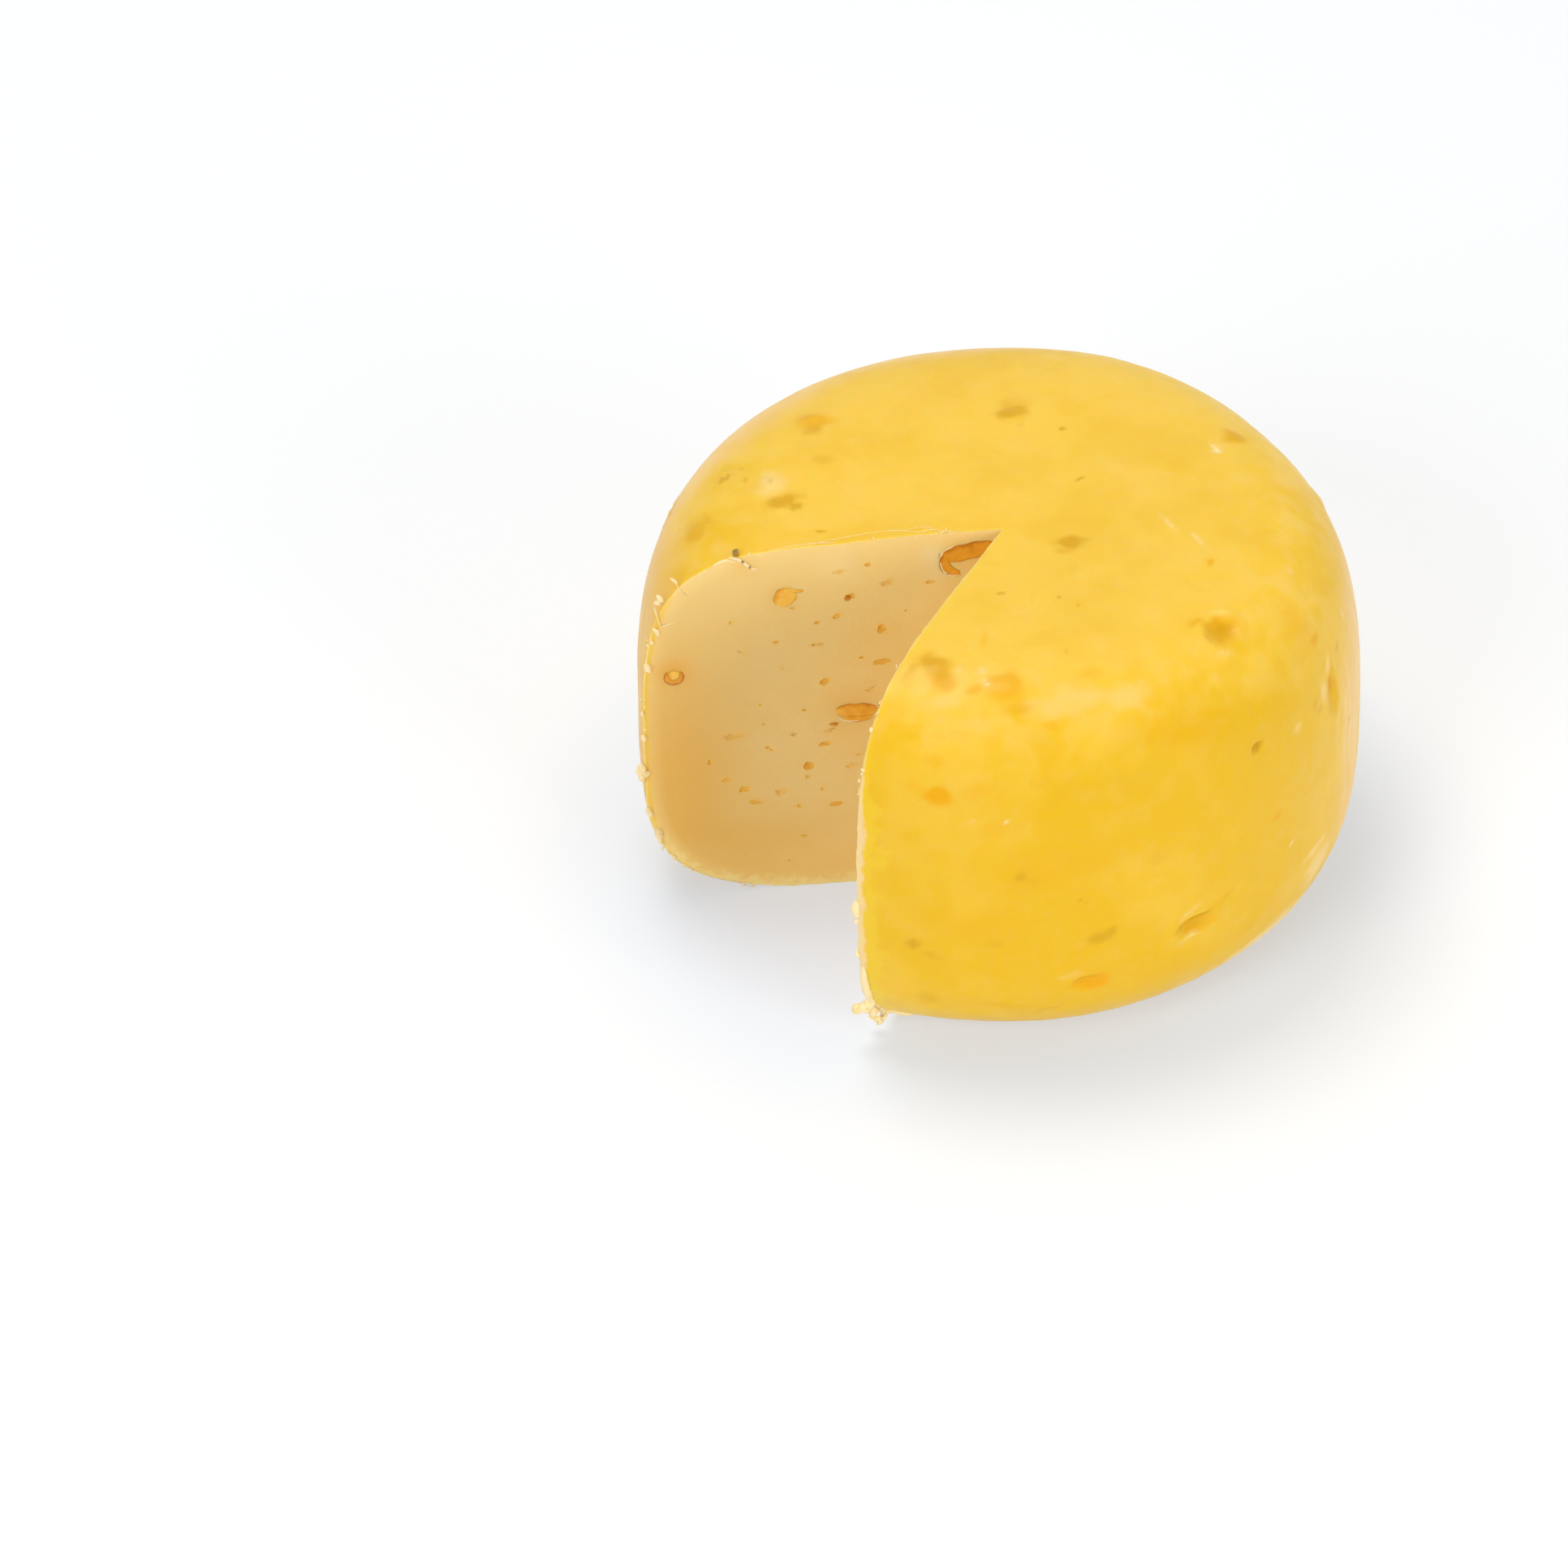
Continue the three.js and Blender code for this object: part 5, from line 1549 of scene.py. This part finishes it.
class GOUDA_OT_crumbs(bpy.types.Operator):
    """Makes the crumbs and the torn curd on the rims of the cuts"""

    bl_idname = "gouda.crumbs"
    bl_label = "Crumbs"

    def execute(self, context):
        """Builds the fine crumbs and the larger burrs."""
        form, finish = context.scene.gouda_form, context.scene.gouda_finish
        cheese, cuts = RoundCheese(form), both_cuts(form)
        material = crumb_material(finish)
        tree = crumb_tree()
        for number, azimuth in enumerate((form.left_cut, form.right_cut)):
            line = rim_line(cheese, form, azimuth)[CRUMB_LINE]
            line = line[line[:, 2] > CRUMB_LOWEST]
            edges = [(step, step + 1) for step in range(len(line) - 1)]
            source = mesh_object("rim", line, [])
            source.data.clear_geometry()
            source.data.from_pydata([tuple(point) for point in line], edges, [])
            crumbs = tree.run(source, f"gouda_crumbs_{number}", {
                **CRUMB_INPUTS, "Seed": CRUMB_SEED + number, "Material": material})
            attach(crumbs, BODY)
        burrs = make_blobs(
            "gouda_burrs", burr_places(cheese, form, cuts), material, BURR_TAPER, BURR_ROUGHNESS, BURR_LUMPS)
        build = new_build()
        for number, thickness, points in THREADS:
            corners = np.array([cuts[number].place(*(np.array(point) * MM)) for point in points])
            path = smooth_path(corners)
            behind = (cuts[number].over(path) < BEHIND_CUT) & (path[:, 2] > ON_TOP * MM)
            path[behind] = on_the_rind(cheese, path[behind])
            add_thread(build, path, thickness)
        add_thread(build, ring_path(cuts[1], context.scene.gouda_stage), TORN_RING[-1])
        threads = mesh_object("gouda_threads", build["vertices"], build["faces"], [material])
        outward_normals(threads.data)
        for piece in (burrs, threads):
            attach(piece, BODY)
        return {"FINISHED"}


def on_the_rind(cheese, points):
    """Points moved straight up or down onto the top of the rind."""
    low = np.full(len(points), cheese.place[2])
    high = np.full(len(points), cheese.place[2] + 1.2 * cheese.form.crown)
    for _ in range(HALVINGS):
        middle = (low + high) / 2
        inside = cheese.fills(np.column_stack([points[:, :2], middle]) - cheese.place)
        low = np.where(inside, middle, low)
        high = np.where(inside, high, middle)
    return np.column_stack([points[:, :2], low])


def ring_path(cut, stage):
    """The ring of the torn corner as a path."""
    along, up, depth, radius, _ = TORN_RING
    right, above, _, _ = look_from(stage)
    turns = np.linspace(0, math.tau, RING_STEPS + 1)
    ring = np.outer(np.cos(turns), right) + np.outer(np.sin(turns), above)
    return cut.place(along * MM, up * MM, depth * MM) + radius * MM * ring


def smooth_path(points):
    """A smooth path through points, by Catmull and Rom's rule."""
    ends = np.vstack([2 * points[0] - points[1], points, 2 * points[-1] - points[-2]])
    path = []
    for first, second, third, fourth in zip(ends, ends[1:], ends[2:], ends[3:]):
        for share in np.arange(THREAD_STEPS) / THREAD_STEPS:
            path.append(0.5 * (2 * second + (third - first) * share
                               + (2 * first - 5 * second + 4 * third - fourth) * share ** 2
                               + (3 * second - first - 3 * third + fourth) * share ** 3))
    path.append(points[-1])
    return np.array(path)


def add_thread(build, path, thickness):
    """Adds a closed, lumpy tube along a path, thinner at both ends."""
    start = len(build["vertices"])
    ways = np.gradient(path, axis=0)
    turns = np.arange(THREAD_SIDES) * math.tau / THREAD_SIDES
    lump_size, lump_share = THREAD_LUMPS
    lumps = 1 + lump_share * noise_values(path, lump_size)
    start_share, spare, bluntness = THREAD_ENDS
    for step, (spot, way) in enumerate(zip(path, ways)):
        way = Vector(way).normalized()
        side = way.orthogonal().normalized()
        other = way.cross(side)
        thin = math.sin(math.pi * (step + start_share) / (len(path) + spare)) ** bluntness
        for turn in turns:
            out = side * math.cos(turn) + other * math.sin(turn)
            build["vertices"].append(Vector(spot) + out * thickness * MM / 2 * thin * lumps[step])
    count = len(path)
    for step in range(count - 1):
        ring = start + step * THREAD_SIDES
        for here in range(THREAD_SIDES):
            face = [ring + here, ring + (here + 1) % THREAD_SIDES]
            build["faces"].append(face + [corner + THREAD_SIDES for corner in reversed(face)])
    last = start + (count - 1) * THREAD_SIDES
    build["faces"].append([start + here for here in reversed(range(THREAD_SIDES))])
    build["faces"].append([last + here for here in range(THREAD_SIDES)])


def burr_places(cheese, form, cuts):
    """Matrix and size of each larger burr on the rims."""
    places = []
    turn, more_turn = BURR_TURN
    rims = [rim_line(cheese, form, azimuth) for azimuth in (form.left_cut, form.right_cut)]
    for cut, rim, burrs in zip(cuts, rims, (LEFT_BURRS, RIGHT_BURRS)):
        along = (rim - cut.corner) @ cut.direction
        outer = rim[along > BURR_RIM]
        reach = along[along > BURR_RIM]
        for up, size, out in burrs:
            distance = np.interp(-up * MM, -outer[:, 2], reach) / MM - BURR_INWARD * size + out
            matrix = cut.matrix(distance, up, turn + more_turn * size, -BURR_SINK * size)
            places.append((matrix, (size * MM, BURR_WIDTH * size * MM, BURR_WIDTH * size * MM)))
    return places


def look_from(stage):
    """Camera matrix, so that the widest place's middle lands on its pixel."""
    rise = stage.elevation
    back = Vector((0, -math.cos(rise), math.sin(rise)))
    right = Vector((1, 0, 0))
    up = back.cross(right)
    turned_right = math.cos(stage.roll) * right + math.sin(stage.roll) * up
    turned_up = -math.sin(stage.roll) * right + math.cos(stage.roll) * up
    across = (WIDEST_PLACE_X - PICTURE_SIZE / 2) / stage.focal_pixels
    down = (WIDEST_PLACE_Y - PICTURE_SIZE / 2) / stage.focal_pixels
    offset = across * turned_right - down * turned_up - back
    return turned_right, turned_up, back, -stage.distance * offset


class GOUDA_OT_stage(bpy.types.Operator):
    """Makes the camera, the lights and the floor"""

    bl_idname = "gouda.stage"
    bl_label = "Stage"

    def execute(self, context):
        """Builds the stage round the cheese."""
        stage = context.scene.gouda_stage
        cheese = RoundCheese(context.scene.gouda_form)
        make_camera(stage, Vector(cheese.place))
        make_lights(stage)
        make_floor(stage)
        return {"FINISHED"}


def make_camera(stage, target):
    """The camera at the picture's angle."""
    camera = bpy.data.cameras.new("camera")
    camera.sensor_width = SENSOR_WIDTH
    camera.lens = SENSOR_WIDTH * stage.focal_pixels / PICTURE_SIZE
    camera.clip_end = CAMERA_REACH
    holder = bpy.data.objects.new("camera", camera)
    right, up, back, offset = look_from(stage)
    turn = Matrix((right, up, back)).transposed().to_4x4()
    holder.matrix_world = Matrix.Translation(target + offset) @ turn
    bpy.context.scene.collection.objects.link(holder)
    bpy.context.scene.camera = holder


def area_light(name, power, size, place):
    """A square light that looks at the middle of the cheese."""
    light = bpy.data.lights.new(name, "AREA")
    light.energy = power
    light.size = size
    holder = bpy.data.objects.new(name, light)
    gaze = Vector(STAGE_MIDDLE) - Vector(place)
    holder.matrix_world = Matrix.Translation(place) @ gaze.to_track_quat("-Z", "Y").to_matrix().to_4x4()
    bpy.context.scene.collection.objects.link(holder)
    return holder


def make_lights(stage):
    """Even light from all round, a key overhead and two fills in front that leave no gloss."""
    world = bpy.data.worlds.new("studio")
    world.use_nodes = True
    background = world.node_tree.nodes["Background"]
    background.inputs["Strength"].default_value = 1.0
    shade_sky(world.node_tree, background, stage)
    bpy.context.scene.world = world
    area_light("key", stage.key, KEY_SIZE, KEY_PLACE)
    fills = (
        ("left_fill", stage.left_fill, LEFT_FILL_PLACE),
        ("right_fill", stage.right_fill, RIGHT_FILL_PLACE),
    )
    for name, power, place in fills:
        area_light(name, power, FILL_SIZE, place).visible_glossy = False
    bpy.context.scene.view_settings.view_transform = "Standard"


def shade_sky(tree, background, stage):
    """A sky that is bright behind the cheese and overhead, and dim low in front and to the left."""
    nodes = Nodes(tree)
    place = nodes.node("ShaderNodeTexCoord")
    parts = nodes.node("ShaderNodeSeparateXYZ", {0: place.outputs["Generated"]})
    ramps = (
        ("Y", SKY_DEPTH, stage.sky_front, stage.sky_back),
        ("Z", SKY_HEIGHT, 0, 1),
        ("X", SKY_ACROSS, stage.sky_left, 1),
    )
    depth, height, across = [
        nodes.node("ShaderNodeMapRange", {
            "Value": parts.outputs[axis], "From Min": low, "From Max": high, "To Min": dim,
            "To Max": bright}).outputs["Result"]
        for axis, (low, high), dim, bright in ramps]
    ring = nodes.node("ShaderNodeMath", {0: depth, 1: across}, operation="MULTIPLY")
    mix = nodes.node("ShaderNodeMix", {"Factor": height, "A": ring.outputs[0], "B": stage.sky})
    nodes.feed(background.inputs["Color"], mix.outputs["Result"])


def make_floor(stage):
    """A pale floor whose glow is dimmer and cooler close to the cheese: a painted shadow that also offsets
    its yellow bounce light.
    """
    shader = Shader("pale_floor", stage, "floor")
    distance = shader.node("ShaderNodeVectorMath", {0: shader.place}, operation="LENGTH")
    shader.measures["out"] = distance.outputs["Value"]
    # Painted shadow: dimmer, cooler glow close to the cheese
    glow = shader.mix(shader.ramp(*FLOOR_SHADE_REACH), stage.floor_glow_painted_shade, stage.floor_glow)
    material = shader.finish(FLOOR_SURFACE, Emission_Color=glow)
    signs = ((-1, -1), (1, -1), (1, 1), (-1, 1))
    corners = [(FLOOR_HALF * across, FLOOR_HALF * along, -FLOOR_DROP) for across, along in signs]
    floor = mesh_object("floor", corners, [(0, 1, 2, 3)], [material], smooth=False)


class GOUDA_PT_panel(bpy.types.Panel):
    """Lists what makes the cheese and its stage."""

    bl_idname = "GOUDA_PT_panel"
    bl_label = "Baby gouda"
    bl_space_type = "VIEW_3D"
    bl_region_type = "UI"
    bl_category = "Gouda"

    def draw(self, context):
        """Draws the buttons and the values."""
        for operator in PIECE_OPERATORS:
            self.layout.operator(operator.bl_idname)
        for group in (context.scene.gouda_form, context.scene.gouda_finish, context.scene.gouda_stage):
            box = self.layout.box()
            for name in group.__annotations__:
                box.prop(group, name)


PIECE_OPERATORS = (GOUDA_OT_stage, GOUDA_OT_wheel, GOUDA_OT_seeds, GOUDA_OT_crumbs)
CLASSES = (GOUDA_PG_form, GOUDA_PG_finish, GOUDA_PG_stage, *PIECE_OPERATORS, GOUDA_PT_panel)


def register():
    """Registers the classes and puts the values on the scene."""
    for item in CLASSES:
        bpy.utils.register_class(item)
    bpy.types.Scene.gouda_form = bpy.props.PointerProperty(type=GOUDA_PG_form)
    bpy.types.Scene.gouda_finish = bpy.props.PointerProperty(type=GOUDA_PG_finish)
    bpy.types.Scene.gouda_stage = bpy.props.PointerProperty(type=GOUDA_PG_stage)


def unregister():
    """Takes the values and the classes away again."""
    del bpy.types.Scene.gouda_stage
    del bpy.types.Scene.gouda_finish
    del bpy.types.Scene.gouda_form
    for item in reversed(CLASSES):
        bpy.utils.unregister_class(item)


def main():
    """Makes every piece in order."""
    register()
    for operator in PIECE_OPERATORS:
        group, name = operator.bl_idname.split(".")
        getattr(getattr(bpy.ops, group), name)()


if __name__ == "__main__":
    main()
